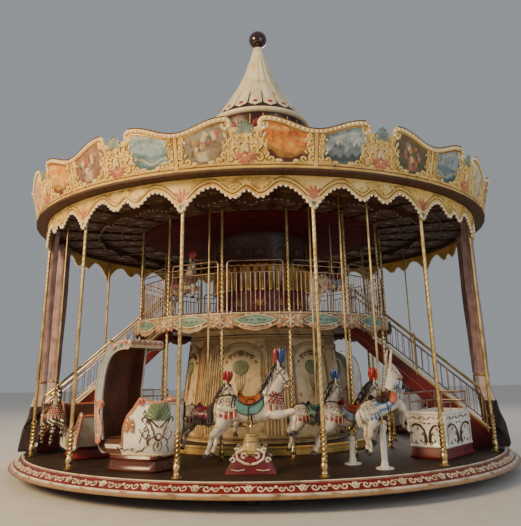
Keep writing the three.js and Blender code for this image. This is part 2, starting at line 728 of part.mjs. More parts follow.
// stands and posts: each a tube whose bore the figure's lower rod runs in
function stand() {
  const floor = DECK_TOP + GAP;
  const outline = [[-405, floor], [405, floor], [250, floor + 280], [-250, floor + 280]];
  const bell = turned([
    [0, floor + 270], [230, floor + 270], [210, floor + 330], [130, floor + 420], [110, floor + 560],
    [0, floor + 560],
  ], 20);
  const bore = uprightRod(floor + 60, floor + 700, ROD + RUN);
  return cutBy(joined([plate(outline, 420), bell]), [bore]);
}
function post(top) {
  const floor = DECK_TOP + GAP;
  const body = turned([
    [0, floor], [150, floor], [150, floor + 25], [60, floor + 45], [48, floor + 120],
    [48, top], [0, top],
  ], 16);
  const bore = uprightRod(floor + 60, floor + 700, ROD + RUN);
  return cutBy(body, [bore]);
}

// A figure is fused to the rod that guides it: down in its stand or post, up through the ceiling
const rodFoot = 60 + HORSE_TRAVEL + 15;
const belly = 360;
RIDES.forEach((ride) => {
  const { name, angle, radius, kind, ears, size = 1, pitch = 0, floor = DECK_TOP } = ride;
  const { rise = SADDLE_HEIGHT * size } = ride;
  const saddle = floor + rise;
  const upper = kind === "stand" ? -120 : CEILING_Z + HORSE_TRAVEL + 100 - saddle;
  const lower = kind === "pole" ? 130 : rise - rodFoot;
  const figure = joined([horse({ ears, size, pitch }), uprightRod(-lower, upper, ROD)]);
  addPiece(name, seated(figure.translate(0, 0, saddle), angle, radius), LOOKS.white);
  if (kind === "stand") {
    addPiece(`${name}_stand`, seated(stand(), angle, radius), LOOKS.red);
  }
  if (kind === "post") {
    const top = saddle - belly * size - HORSE_TRAVEL - 25;
    addPiece(`${name}_post`, seated(post(top), angle, radius), LOOKS.cream);
  }
});

// tied curtains beside the stairs, hung from the poles' ring beam
function curtain() {
  const top = CEILING_Z - 100 - GAP;
  // height, half width, half thickness, bulge away from the axis
  const rows = [
    [470, 280, 160, 180], [800, 260, 150, 160], [1200, 190, 115, 80], [1600, 130, 70, 0],
    [2300, 210, 100, 0], [4200, 275, 110, 0], [top, 275, 105, 0],
  ];
  const sections = rows.map(([z, half, thick, bulge]) =>
    range(0, 360, 12).slice(0, -1).map((a) => {
      const t = toRadians(a);
      return new THREE.Vector3(half * Math.cos(t), thick * Math.sin(t) - bulge, z);
    }));
  return loft(sections);
}
const curtainStep = 0.5 * BAY - CURTAIN_ASIDE;
[["left", -1], ["right", 1]].forEach(([side, sign]) => {
  [["front", -1], ["back", 1]].forEach(([end, way]) => {
    const angle = sign * (STAIR_ANGLE + way * curtainStep);
    addPiece(`curtain_${side}_${end}`, seated(curtain(), angle, CURTAIN_R), LOOKS.cloth);
  });
});

export default carousel;
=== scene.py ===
# The looks of a double-deck fairground carousel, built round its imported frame, in metres.
# Angles are in degrees from the front (-Y) towards +X; a bay's centre is a whole number of bays.
import math
import random
import bpy
import bmesh
import numpy as np
from mathutils import Matrix, Vector


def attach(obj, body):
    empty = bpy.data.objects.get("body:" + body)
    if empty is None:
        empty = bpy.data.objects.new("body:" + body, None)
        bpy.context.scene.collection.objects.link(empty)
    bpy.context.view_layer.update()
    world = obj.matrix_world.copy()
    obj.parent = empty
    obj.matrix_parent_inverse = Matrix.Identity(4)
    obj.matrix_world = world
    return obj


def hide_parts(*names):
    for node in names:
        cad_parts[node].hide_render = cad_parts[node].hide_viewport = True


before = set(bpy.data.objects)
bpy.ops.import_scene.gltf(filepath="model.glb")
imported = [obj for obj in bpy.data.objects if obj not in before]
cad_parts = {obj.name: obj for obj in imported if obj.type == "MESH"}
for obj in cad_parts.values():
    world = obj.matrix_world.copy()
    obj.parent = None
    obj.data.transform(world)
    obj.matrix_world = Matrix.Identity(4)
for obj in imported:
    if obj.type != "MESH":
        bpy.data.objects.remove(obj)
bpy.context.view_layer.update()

bays = 14
bay = 360 / bays
deckTop = 0.403  # finished floor of the lower storey
galleryTop = 2.967  # finished floor of the gallery
scene = bpy.context.scene


# Camera at the photograph's viewpoint, solved from the floor, crown and poles
cameraSetup = {
    "azimuth": 2.58, "distance": 14.39, "height": 1.896, "pitch": 17.27, "roll": 0.96, "yaw": -0.03,
    "focal": 585, "longSide": 526, "opticalRow": 190.5, "middleRow": 263,
}


def makeCamera(setup):
    data = bpy.data.cameras.new("camera")
    camera = bpy.data.objects.new("camera", data)
    scene.collection.objects.link(camera)
    data.sensor_width = 36
    data.lens = setup["focal"] * 36 / setup["longSide"]
    data.shift_y = (setup["opticalRow"] - setup["middleRow"]) / setup["longSide"]
    turn = math.radians(setup["azimuth"])
    yaw = math.radians(setup["yaw"]) + turn
    pitch = math.radians(setup["pitch"])
    roll = math.radians(setup["roll"])
    right = Vector((math.cos(yaw), math.sin(yaw), 0))
    ahead = Vector((-math.sin(yaw) * math.cos(pitch), math.cos(yaw) * math.cos(pitch), math.sin(pitch)))
    up = right.cross(ahead)
    across = math.cos(roll) * right - math.sin(roll) * up
    upright = math.sin(roll) * right + math.cos(roll) * up
    spin = Matrix((across, upright, -ahead)).transposed()
    place = (setup["distance"] * math.sin(turn), -setup["distance"] * math.cos(turn), setup["height"])
    camera.matrix_world = Matrix.Translation(place) @ spin.to_4x4()
    scene.camera = camera


makeCamera(cameraSetup)
print("camera set")


# Corners and faces of a piece while it is being made, each face with its finish and tint.
# A look is the name of a finish, or a colour that tints the form's own paint.
class Form:
    def __init__(self, place=None, paint="tintedEnamel"):
        self.place = place
        self.paint = paint
        self.points = []
        self.faces = []
        self.finishes = []
        self.tints = []

    def add(self, shape, look, move=None):
        points, faces = shape
        base = len(self.points)
        move = move or self.place
        named = isinstance(look, str) and look in finishOf
        tint = (1, 1, 1) if named else linear(look) if isinstance(look, str) else look
        self.points.extend([move(*p) for p in points] if move else points)
        self.faces.extend([[base + i for i in face] for face in faces])
        self.finishes.extend([look if named else self.paint] * len(faces))
        self.tints.extend(tint if isinstance(tint, list) else [tint] * len(points))

    def mesh(self, name, smooth=True, outward=True):
        mesh = bpy.data.meshes.new(name)
        mesh.from_pydata([tuple(p) for p in self.points], [], self.faces)
        used = list(dict.fromkeys(self.finishes))
        for finish in used:
            mesh.materials.append(finishOf[finish])
        order = {finish: i for i, finish in enumerate(used)}
        mesh.polygons.foreach_set("material_index", [order[f] for f in self.finishes])
        mesh.polygons.foreach_set("use_smooth", [smooth] * len(self.faces))
        tint = mesh.color_attributes.new("tint", "FLOAT_COLOR", "POINT")
        tints = np.ones((len(self.points), 4), np.float32)
        tints[:, :3] = self.tints
        tint.data.foreach_set("color", tints.ravel())
        if outward:
            turnOutward(mesh)
        mesh.update()
        return mesh


def turnOutward(mesh):
    work = bmesh.new()
    work.from_mesh(mesh)
    bmesh.ops.remove_doubles(work, verts=work.verts, dist=0.00002)
    bmesh.ops.delete(work, geom=[v for v in work.verts if not v.link_faces], context="VERTS")
    bmesh.ops.recalc_face_normals(work, faces=work.faces)
    work.to_mesh(mesh)
    work.free()


def showMesh(name, mesh, sharp=40):
    piece = bpy.data.objects.new(name, mesh)
    scene.collection.objects.link(piece)
    if sharp:
        mesh.set_sharp_from_angle(angle=math.radians(sharp))
    return piece


def seat(name, mesh, body="carousel", stands=(), sharp=40):
    piece = showMesh(name, mesh, sharp)
    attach(piece, body)
    if stands:
        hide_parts(*stands)
    return piece


def polar(radius, angle, z):
    a = math.radians(angle)
    return (radius * math.sin(a), -radius * math.cos(a), z)


def spread(low, high, steps):
    return [low + (high - low) * i / steps for i in range(steps + 1)]


def turns(count):
    return [2 * math.pi * k / count for k in range(count)]


def between(knots, at):
    for (a, low), (b, high) in zip(knots, knots[1:]):
        if at <= b:
            t = max(0, (at - a) / (b - a))
            return low + (high - low) * t
    return knots[-1][1]


def easeBetween(knots, at):
    for (a, low), (b, high) in zip(knots, knots[1:]):
        if at <= b:
            t = max(0, (at - a) / (b - a))
            return low + (high - low) * (0.5 - 0.5 * math.cos(math.pi * t))
    return knots[-1][1]


# Shapes: each returns its points and faces
def loftShape(rows, ring=False, capped=True):
    count = len(rows[0])
    points = [p for row in rows for p in row]
    faces = []
    last = len(rows) if ring else len(rows) - 1
    for row in range(last):
        after = (row + 1) % len(rows)
        for i in range(count):
            j = (i + 1) % count
            faces.append([row * count + i, row * count + j, after * count + j, after * count + i])
    if capped and not ring:
        faces.append(list(range(count))[::-1])
        faces.append([(len(rows) - 1) * count + i for i in range(count)])
    return points, faces


def sheetShape(rows):
    count = len(rows[0])
    points = [p for row in rows for p in row]
    faces = [[
        r * count + i, r * count + i + 1, (r + 1) * count + i + 1, (r + 1) * count + i,
    ] for r in range(len(rows) - 1) for i in range(count - 1)]
    return points, faces


def tubeShape(path, radius, sides=8, ring=False, flat=1.0, face=None):
    path = [Vector(p) for p in path]
    count = len(path)
    radii = radius if isinstance(radius, list) else [radius] * count
    rows = []
    side = None
    for i, p in enumerate(path):
        if ring:
            along = path[(i + 1) % count] - path[i - 1]
        else:
            along = path[min(i + 1, count - 1)] - path[max(i - 1, 0)]
        along.normalize()
        if face is not None:
            side = along.cross(Vector(face))
        elif side is None:
            side = along.orthogonal()
        else:
            side = side - along * side.dot(along)
        side.normalize()
        lift = side.cross(along)
        rows.append(
            [tuple(p + radii[i] * (math.cos(t) * side + flat * math.sin(t) * lift)) for t in turns(sides)]
        )
    return loftShape(rows, ring)


def bead(path, radius, sides=5, flat=0.7, ring=False):
    return tubeShape(path, radius, sides, ring, flat, (0, 0, 1))


def turnedShape(profile, sides=48, start=0, sweep=360):
    whole = sweep >= 360
    steps = sides if whole else sides + 1
    rows = [[polar(max(r, 0.0001), start + sweep * k / sides, z) for k in range(steps)] for r, z in profile]
    count = steps
    points = [p for row in rows for p in row]
    faces = []
    for r in range(len(rows) - 1):
        for i in range(count if whole else count - 1):
            j = (i + 1) % count
            faces.append([r * count + i, r * count + j, (r + 1) * count + j, (r + 1) * count + i])
    return points, faces


def boxShape(low, high):
    (x0, y0, z0), (x1, y1, z1) = low, high
    points = [(x, y, z) for z in (z0, z1) for y in (y0, y1) for x in (x0, x1)]
    faces = [[0, 2, 3, 1], [4, 5, 7, 6], [0, 1, 5, 4], [2, 6, 7, 3], [0, 4, 6, 2], [1, 3, 7, 5]]
    return points, faces


def ballShape(centre, radii, around=12, down=8):
    rows = []
    for i in range(down + 1):
        v = math.pi * i / down
        ring = max(math.sin(v), 0.001)
        rows.append(
            [tuple(c + r * d for c, r, d in zip(centre, radii, (
                ring * math.cos(2 * math.pi * k / around), ring * math.sin(2 * math.pi * k / around),
                math.cos(v),
            ))) for k in range(around)]
        )
    return loftShape(rows)


def plateShape(outline, thick):
    count = len(outline)
    points = [(x, y, 0) for x, y in outline] + [(x, y, thick) for x, y in outline]
    faces = [list(range(count))[::-1], list(range(count, 2 * count))]
    faces += [[i, (i + 1) % count, count + (i + 1) % count, count + i] for i in range(count)]
    return points, faces


# Ornament on a flat plan (across, up, lift), later bent onto its surface
def spiral(x, y, start, end, begin, to, steps=18):
    path = []
    for t in spread(0, 1, steps):
        a = math.radians(begin + (to - begin) * t)
        r = start + (end - start) * t
        path.append((x + r * math.cos(a), y + r * math.sin(a)))
    return path


def mirrored(path):
    return [(-p[0], *p[1:]) for p in path]


def shellShape(width, height, ribs=7, depth=0.03, spreadAngle=105, rings=5):
    rows = []
    steps = ribs * 4
    for k in range(rings + 1):
        t = k / rings
        row = []
        for i in range(steps + 1):
            a = -spreadAngle + 2 * spreadAngle * i / steps
            ripple = abs(math.cos(math.pi * ribs * i / steps))
            r = t * (1 - 0.07 * ripple * t)
            x = 0.5 * width * r * math.sin(math.radians(a))
            y = height * (0.25 + 0.72 * r * math.cos(math.radians(a)))
            lift = depth * (math.sin(math.pi * min(t * 0.9, 1)) * 0.8 + 0.5 * t * (1 - ripple)) + 0.004
            row.append((x, y, lift))
        rows.append(row)
    return sheetShape(rows)


def leafShape(x, y, length, width, turn, depth=0.012):
    a = math.radians(turn)
    rows = []
    for t in spread(0, 1, 6):
        half = 0.5 * width * math.sin(math.pi * t ** 0.8)
        row = []
        for side in (-1, -0.5, 0, 0.5, 1):
            u, v = length * t, half * side
            lift = 0.003 + depth * math.sin(math.pi * t) * (1 - 0.7 * side * side)
            row.append((x + u * math.cos(a) - v * math.sin(a), y + u * math.sin(a) + v * math.cos(a), lift))
        rows.append(row)
    return sheetShape(rows)


def sideLeaf(side, x, y, length, width, turn, depth=0.012):
    return leafShape(side * x, y, length, width, turn if side > 0 else 180 - turn, depth)


def movedShell(x, y, width, height, ribs, depth, lift=0.0, spreadAngle=105):
    points, faces = shellShape(width, height, ribs, depth, spreadAngle)
    return [(px + x, py + y, pz + lift) for px, py, pz in points], faces


# Colour: sRGB hex to linear
def linear(code):
    parts = [int(code[i:i + 2], 16) / 255 for i in (1, 3, 5)]
    return tuple(c / 12.92 if c <= 0.04045 else ((c + 0.055) / 1.055) ** 2.4 for c in parts)


# One node with its settings and links; a value that is a socket is linked to it
def node(tree, kind, sockets=None, **settings):
    made = tree.nodes.new(kind)
    for key, value in settings.items():
        setattr(made, key, value)
    for key, value in (sockets or {}).items():
        if isinstance(value, bpy.types.NodeSocket):
            tree.links.new(value, made.inputs[key])
        else:
            made.inputs[key].default_value = value
    return made


finishOf = {}


def finish(name):
    material = bpy.data.materials.new(name)
    material.use_nodes = True
    tree = material.node_tree
    finishOf[name] = material
    shader = tree.nodes["Principled BSDF"]
    return tree, shader


# A soft pattern in the piece's own space, of the given size in mm: its value, and its colours
def pattern(tree, size, detail, rough, stops, stretch=(1, 1, 1)):
    place = node(tree, "ShaderNodeTexCoord")
    mapping = node(tree, "ShaderNodeMapping", {"Vector": place.outputs["Object"], "Scale": stretch})
    cloud = node(tree, "ShaderNodeTexNoise", {
        "Vector": mapping.outputs["Vector"], "Scale": 1000 / size, "Detail": detail, "Roughness": rough,
    })
    tones = node(tree, "ShaderNodeValToRGB", {"Fac": cloud.outputs["Fac"]})
    elements = tones.color_ramp.elements
    while len(elements) < len(stops):
        elements.new(0.5)
    for element, (at, tone) in zip(elements, stops):
        element.position = at
        element.color = (*(linear(tone) if isinstance(tone, str) else (tone, tone, tone)), 1)
    return cloud.outputs["Fac"], tones.outputs["Color"]


# Painted surface: patches of worn and dirty paint over fine brush marks that also vary the gloss
def paint(name, base, worn, dirt, gloss=0.4, patch=350, marks=1.2, tinted=False, coat=0.0, shine=0.5):
    tree, shader = finish(name)
    _, colour = pattern(tree, patch, 4, 0.6, [(0.3, dirt), (0.48, base), (0.72, worn)])
    fine, dull = pattern(tree, 30, 3, 0.6, [(0, gloss - 0.1), (1, gloss + 0.12)])
    if tinted:
        tint = node(tree, "ShaderNodeAttribute", attribute_name="tint")
        mixed = node(tree, "ShaderNodeMix", {
            0: 1.0, 6: colour, 7: tint.outputs["Color"],
        }, data_type="RGBA", blend_type="MULTIPLY")
        colour = mixed.outputs[2]
    tree.links.new(colour, shader.inputs["Base Color"])
    tree.links.new(dull, shader.inputs["Roughness"])
    bump = node(tree, "ShaderNodeBump", {"Height": fine, "Distance": marks / 1000, "Strength": 0.5})
    tree.links.new(bump.outputs["Normal"], shader.inputs["Normal"])
    shader.inputs["Coat Weight"].default_value = coat
    shader.inputs["Specular IOR Level"].default_value = shine


# Metal: tarnish in broad patches, a fine grain in the gloss
def metal(name, base, tarnish, gloss, grain=4):
    tree, shader = finish(name)
    _, dull = pattern(tree, grain, 2, 0.5, [(0, gloss - 0.08), (1, gloss + 0.12)])
    _, colour = pattern(tree, 250, 4, 0.6, [(0.35, tarnish), (0.6, base)])
    tree.links.new(colour, shader.inputs["Base Color"])
    tree.links.new(dull, shader.inputs["Roughness"])
    shader.inputs["Metallic"].default_value = 1.0


# Varnished boards laid side by side across the carousel, a dark seam between them
def planks(name, base, worn, seam, width, gloss=0.55):
    tree, shader = finish(name)
    place = node(tree, "ShaderNodeTexCoord")
    split = node(tree, "ShaderNodeSeparateXYZ", {"Vector": place.outputs["Object"]})
    across = node(tree, "ShaderNodeMath", {0: split.outputs["X"], 1: width / 1000}, operation="DIVIDE")
    inBoard = node(tree, "ShaderNodeMath", {0: across.outputs[0]}, operation="FRACT")
    edge = node(tree, "ShaderNodeMath", {0: inBoard.outputs[0], 1: 0.06}, operation="LESS_THAN")
    along = (1, 0.06, 1)
    grain, colour = pattern(tree, 20, 5, 0.65, [(0.3, seam), (0.5, base), (0.75, worn)], along)
    _, dull = pattern(tree, 20, 5, 0.65, [(0, gloss - 0.1), (1, gloss + 0.2)], along)
    dark = node(
        tree, "ShaderNodeMix", {0: edge.outputs[0], 6: colour, 7: (*linear(seam), 1)}, data_type="RGBA",
    )
    tree.links.new(dark.outputs[2], shader.inputs["Base Color"])
    tree.links.new(dull, shader.inputs["Roughness"])
    relief = node(tree, "ShaderNodeMath", {0: grain, 1: edge.outputs[0]}, operation="SUBTRACT")
    bump = node(tree, "ShaderNodeBump", {"Height": relief.outputs[0], "Distance": 0.002, "Strength": 0.6})
    tree.links.new(bump.outputs["Normal"], shader.inputs["Normal"])


# Cloth: threads drawn coarse enough to show, over faded folds
def weave(name, base, fold, thread=8):
    tree, shader = finish(name)
    place = node(tree, "ShaderNodeTexCoord")
    waves = [node(tree, "ShaderNodeTexWave", {
        "Vector": place.outputs["Object"], "Scale": 314 / thread, "Distortion": 0.6,
    }, bands_direction=direction).outputs["Fac"] for direction in ("X", "Z")]
    cross = node(tree, "ShaderNodeMath", {0: waves[0], 1: waves[1]}, operation="MULTIPLY")
    _, colour = pattern(tree, 220, 4, 0.6, [(0.32, fold), (0.62, base)])
    tree.links.new(colour, shader.inputs["Base Color"])
    shader.inputs["Roughness"].default_value = 0.85
    shader.inputs["Sheen Weight"].default_value = 0.3
    bump = node(tree, "ShaderNodeBump", {"Height": cross.outputs[0], "Distance": 0.001, "Strength": 0.5})
    tree.links.new(bump.outputs["Normal"], shader.inputs["Normal"])


# Each finish with what it gives the eye
paint("creamEnamel", "#EBC067", "#F7D88C", "#BC8B3E", 0.4)  # golden cream, ochre where dust settles
paint("tintedEnamel", "#EDE8DE", "#FFFFFF", "#B9AE9C", 0.4, 200, 0.8, True)  # ornament in many soft colours
paint("oilPaint", "#EDE6D8", "#FFFFFF", "#A89A86", 0.5, 120, 1.5, True)  # brushed pictures, a little greyed
paint("redEnamel", "#701719", "#84201E", "#4A0E10", 0.4)  # deep red, nearly brown in its worn patches
paint("maroonEnamel", "#3A1416", "#4A1C1C", "#280C0E", 0.34)  # dark wine red with a soft shine
paint("ivoryEnamel", "#F3E4B8", "#FBF0CE", "#D9C08A", 0.36)  # warm white of the spire, yellowed in streaks
paint("maroonMatt", "#4E1015", "#5C1619", "#300A0D", 0.85, shine=0.12)  # dusty dark red that hardly shines
paint("brownPaint", "#4C2C18", "#5D3820", "#321B0E", 0.6)  # chocolate mouldings under the roof, and painted shade on the inner scalloped ring
paint("darkSteel", "#34302C", "#453E37", "#231F1C", 0.55)  # nearly black frame with brown dust
paint("liningPaint", "#56301F", "#693C28", "#3A1F15", 0.7)  # matt brown shade inside the hood
paint("greyBlueEnamel", "#8C9AA0", "#A9B4B6", "#6D7678", 0.38)  # faded blue-grey rim of the hood
paint("fittedGlossWhite", "#ECE6DA", "#F7F3EA", "#C4B8A4", 0.25, 300, 0.4, False, 0.4)  # wet off-white
paint("tintedGloss", "#F1ECE2", "#FFFFFF", "#CFC6B8", 0.28, 150, 0.4, True, 0.3)  # lacquer over any colour
paint("opalGlass", "#FFF7E6", "#FFFFFF", "#F1E2C4", 0.14, 300, 0.1, False, 0.5)  # milky bright globes
paint("shadedLampGlass", "#8E7466", "#A68B7A", "#5E4A40", 0.3, 300, 0.1)  # lamps that are off, greyed to a dull pinkish brown as painted shade
paint("tiltSheet", "#54423A", "#6A564A", "#3B2D27", 0.75)  # weathered brown roof cloth, matt
paint("glossBall", "#30120F", "#401A15", "#1D0A08", 0.12, 500, 0.1, False, 0.8)  # dark red mirror of the sky
metal("reededBrass", "#D8BE86", "#A98A54", 0.34)  # pale lacquered brass, dull where handled
metal("warmLitSteel", "#BFA492", "#8A7260", 0.34)  # brushed rails, tinted warm orange-brown as painted warm light, duller in tarnished patches
metal("giltMetal", "#E2BE6A", "#B98F42", 0.3)  # yellow gilding, browner in its patches
planks("deckBoards", "#2E1A0E", "#432817", "#170D07", 140)  # dark trodden floor with black seams
planks("ceilingBoards", "#4A2A16", "#5E3820", "#24130A", 200, 0.65)  # brown boards seen from below
weave("curtainCloth", "#B8988F", "#80646A")  # faded rose, greyer in the folds
weave("curtainFrill", "#CFC0B8", "#96837E")  # paler cloth just under the tie
weave("curtainLining", "#33222A", "#1C1116")  # dark inside that shows at the foot
print("finishes ready:", len(finishOf))


# Geometry Nodes trees with named inputs
def growTree(name, inputs):
    tree = bpy.data.node_groups.new(name, "GeometryNodeTree")
    tree.interface.new_socket("Geometry", in_out="INPUT", socket_type="NodeSocketGeometry")
    for label, kind in inputs:
        tree.interface.new_socket(label, in_out="INPUT", socket_type="NodeSocket" + kind)
    tree.interface.new_socket("Geometry", in_out="OUTPUT", socket_type="NodeSocketGeometry")
    given = node(tree, "NodeGroupInput")
    return tree, given.outputs


def endTree(tree, instances, finishSocket):
    real = node(tree, "GeometryNodeRealizeInstances", {"Geometry": instances})
    dressed = node(
        tree, "GeometryNodeSetMaterial", {"Geometry": real.outputs["Geometry"], "Material": finishSocket},
    )
    node(tree, "NodeGroupOutput", {"Geometry": dressed.outputs["Geometry"]})
    return tree


def bulbTree():
    tree, given = growTree(
        "bulbsAlongEdge", [("Spacing", "Float"), ("Radius", "Float"), ("Finish", "Material")],
    )
    curve = node(tree, "GeometryNodeMeshToCurve", {"Mesh": given["Geometry"]})
    even = node(tree, "GeometryNodeResampleCurve", {
        "Curve": curve.outputs["Curve"], "Length": given["Spacing"],
    }, mode="LENGTH")
    globe = node(tree, "GeometryNodeMeshUVSphere", {"Segments": 8, "Rings": 6, "Radius": given["Radius"]})
    smooth = node(tree, "GeometryNodeSetShadeSmooth", {"Geometry": globe.outputs["Mesh"]})
    placed = node(tree, "GeometryNodeInstanceOnPoints", {
        "Points": even.outputs["Curve"], "Instance": smooth.outputs["Geometry"],
    })
    return endTree(tree, placed.outputs["Instances"], given["Finish"])


def ringTree():
    tree, given = growTree("copiesRoundAxis", [
        ("Copies", "Int"), ("Step", "Float"), ("Start", "Float"), ("Finish", "Material"),
    ])
    spots = node(tree, "GeometryNodePoints", {"Count": given["Copies"]})
    index = node(tree, "GeometryNodeInputIndex")
    turned = node(tree, "ShaderNodeMath", {
        0: index.outputs["Index"], 1: given["Step"], 2: given["Start"],
    }, operation="MULTIPLY_ADD")
    spin = node(tree, "ShaderNodeCombineXYZ", {"Z": turned.outputs[0]})
    placed = node(tree, "GeometryNodeInstanceOnPoints", {
        "Points": spots.outputs[0], "Instance": given["Geometry"], "Rotation": spin.outputs["Vector"],
    })
    return endTree(tree, placed.outputs["Instances"], given["Finish"])


def twistTree():
    tree, given = growTree("twistedUprights", [
        ("Height", "Float"), ("Radius", "Float"), ("Lobes", "Int"), ("Depth", "Float"), ("Turns", "Float"),
        ("Rows", "Int"), ("Finish", "Material"),
    ])
    top = node(tree, "ShaderNodeCombineXYZ", {"Z": given["Height"]})
    line = node(tree, "GeometryNodeCurvePrimitiveLine", {"End": top.outputs["Vector"]})
    even = node(tree, "GeometryNodeResampleCurve", {"Curve": line.outputs["Curve"], "Count": given["Rows"]})
    along = node(tree, "GeometryNodeSplineParameter")
    wound = node(
        tree, "ShaderNodeMath", {0: along.outputs["Factor"], 1: given["Turns"]}, operation="MULTIPLY",
    )
    angle = node(tree, "ShaderNodeMath", {0: wound.outputs[0], 1: 2 * math.pi}, operation="MULTIPLY")
    tilt = node(tree, "GeometryNodeSetCurveTilt", {"Curve": even.outputs["Curve"], "Tilt": angle.outputs[0]})
    corners = node(tree, "ShaderNodeMath", {0: given["Lobes"], 1: 4}, operation="MULTIPLY")
    ring = node(tree, "GeometryNodeCurvePrimitiveCircle", {
        "Resolution": corners.outputs[0], "Radius": given["Radius"],
    })
    index = node(tree, "GeometryNodeInputIndex")
    phase = node(tree, "ShaderNodeMath", {0: index.outputs["Index"], 1: math.pi / 2}, operation="MULTIPLY")
    wave = node(tree, "ShaderNodeMath", {0: phase.outputs[0]}, operation="COSINE")
    size = node(
        tree, "ShaderNodeMath", {0: wave.outputs[0], 1: given["Depth"], 2: 1.0}, operation="MULTIPLY_ADD",
    )
    place = node(tree, "GeometryNodeInputPosition")
    bigger = node(tree, "ShaderNodeVectorMath", {
        0: place.outputs["Position"], "Scale": size.outputs[0],
    }, operation="SCALE")
    lobed = node(tree, "GeometryNodeSetPosition", {
        "Geometry": ring.outputs["Curve"], "Position": bigger.outputs["Vector"],
    })
    rod = node(tree, "GeometryNodeCurveToMesh", {
        "Curve": tilt.outputs["Curve"], "Profile Curve": lobed.outputs["Geometry"], "Fill Caps": True,
    })
    smooth = node(tree, "GeometryNodeSetShadeSmooth", {"Geometry": rod.outputs["Mesh"]})
    placed = node(tree, "GeometryNodeInstanceOnPoints", {
        "Points": given["Geometry"], "Instance": smooth.outputs["Geometry"],
    })
    return endTree(tree, placed.outputs["Instances"], given["Finish"])


bulbsAlongEdge = bulbTree()
copiesRoundAxis = ringTree()
twistedUprights = twistTree()


def grow(mesh, tree, values):
    holder = bpy.data.objects.new("holder", mesh)
    scene.collection.objects.link(holder)
    modifier = holder.modifiers.new("grow", "NODES")
    modifier.node_group = tree
    for item in tree.interface.items_tree:
        if item.in_out == "INPUT" and item.name in values:
            modifier[item.identifier] = values[item.name]
    made = bpy.data.meshes.new_from_object(holder.evaluated_get(bpy.context.evaluated_depsgraph_get()))
    holder.modifiers.remove(modifier)
    bpy.data.objects.remove(holder)
    return made


def together(name, meshes):
    holders = []
    for mesh in meshes:
        holder = bpy.data.objects.new(name, mesh)
        scene.collection.objects.link(holder)
        holders.append(holder)
    with bpy.context.temp_override(active_object=holders[0], selected_editable_objects=holders):
        bpy.ops.object.join()
    joined = holders[0].data
    bpy.data.objects.remove(holders[0])
    joined.name = name
    return joined


def ringOf(mesh, look, copies, step=bay, start=0.0):
    return grow(mesh, copiesRoundAxis, {
        "Copies": copies, "Step": math.radians(step), "Start": math.radians(start),
        "Finish": finishOf[look],
    })


def bulbsOn(paths, spacing, radius, look="opalGlass", ring=False):
    return grow(polyline(paths, ring), bulbsAlongEdge, {
        "Spacing": spacing, "Radius": radius, "Finish": finishOf[look],
    })


def roundAxis(form, copies, step=bay, start=0.0):
    meshes = []
    for name in dict.fromkeys(form.finishes):
        part = Form()
        part.points = form.points
        part.tints = form.tints
        part.faces = [f for f, g in zip(form.faces, form.finishes) if g == name]
        part.finishes = [name] * len(part.faces)
        meshes.append(ringOf(part.mesh(name), name, copies, step, start))
    return together("bay", meshes)


def polyline(paths, ring=False):
    mesh = bpy.data.meshes.new("line")
    points, edges = [], []
    for path in paths:
        base = len(points)
        points.extend([tuple(p) for p in path])
        edges.extend([(base + i, base + i + 1) for i in range(len(path) - 1)])
        if ring:
            edges.append((base + len(path) - 1, base))
    mesh.from_pydata(points, edges, [])
    return mesh


def footPoints(points):
    mesh = bpy.data.meshes.new("feet")
    mesh.from_pydata([tuple(p) for p in points], [], [])
    return mesh


# Studio: a pale floor, a broad warm key from the left, a cool fill and an even pale surround
studio = {
    "reach": 60, "aim": (0, 0, 3.5), "surround": "#DDE3EA", "surroundStrength": 0.42,
    "key": {"place": (-16, -15, 12), "size": 9, "watts": 5700, "colour": "#FFDCA6"},
    "fill": {"place": (14, -17, 7), "size": 12, "watts": 850, "colour": "#E4ECF5"},
    "back": {"place": (2, 17, 13), "size": 10, "watts": 1500, "colour": "#FFF0DC"},
}


def makeStudio(setup):
    floor = Form()
    reach = setup["reach"]
    floor.add((
        [(-reach, -reach, 0), (reach, -reach, 0), (reach, reach, 0), (-reach, reach, 0)], [[0, 1, 2, 3]],
    ), "floorPaint")
    piece = showMesh("studioFloor", floor.mesh("studioFloor"), 0)
    for name in ("key", "fill", "back"):
        light = bpy.data.lights.new(name, "AREA")
        light.shape = "DISK"
        light.size = setup[name]["size"]
        light.energy = setup[name]["watts"]
        light.color = linear(setup[name]["colour"])
        lamp = bpy.data.objects.new(name, light)
        scene.collection.objects.link(lamp)
        place = Vector(setup[name]["place"])
        aim = Vector(setup["aim"]) - place
        lamp.matrix_world = Matrix.Translation(place) @ aim.to_track_quat("-Z", "Y").to_matrix().to_4x4()
    world = bpy.data.worlds.new("studio")
    world.use_nodes = True
    sky = world.node_tree.nodes["Background"]
    sky.inputs["Color"].default_value = (*linear(setup["surround"]), 1)
    sky.inputs["Strength"].default_value = setup["surroundStrength"]
    scene.world = world


paint("floorPaint", "#D9D6D0", "#DEDBD5", "#D2CFC8", 0.7)
makeStudio(studio)
print("studio ready")


# Crown: one leaning board in each bay with two painted pictures, scrolls and a beaded top edge
crown = {
    "reach": 5.37, "lowRadius": 5.240, "lean": 0.24 / 0.91, "foot": 5.122, "half": 1.21, "seamTop": 5.738,
    "peakTop": 5.938, "peakAt": 0.34, "bead": 0.045, "bulb": 0.023, "bulbSpacing": 0.083,
    "seamBatten": 0.016,
}


def crownPlace(across, up, lift):
    radius = crown["lowRadius"] + crown["lean"] * (up - 5.08) + lift
    return polar(radius, math.degrees(across / crown["reach"]), up)


def crownEdge(across):
    far = min(abs(across), crown["half"])
    t = (crown["half"] - far) / (crown["half"] - crown["peakAt"])
    if t <= 1:
        return crown["seamTop"] + (crown["peakTop"] - crown["seamTop"]) * (0.5 - 0.5 * math.cos(math.pi * t))
    return crown["peakTop"] - 0.16 * math.sin(0.5 * math.pi * min((crown["peakAt"] - far) / 0.17, 1))


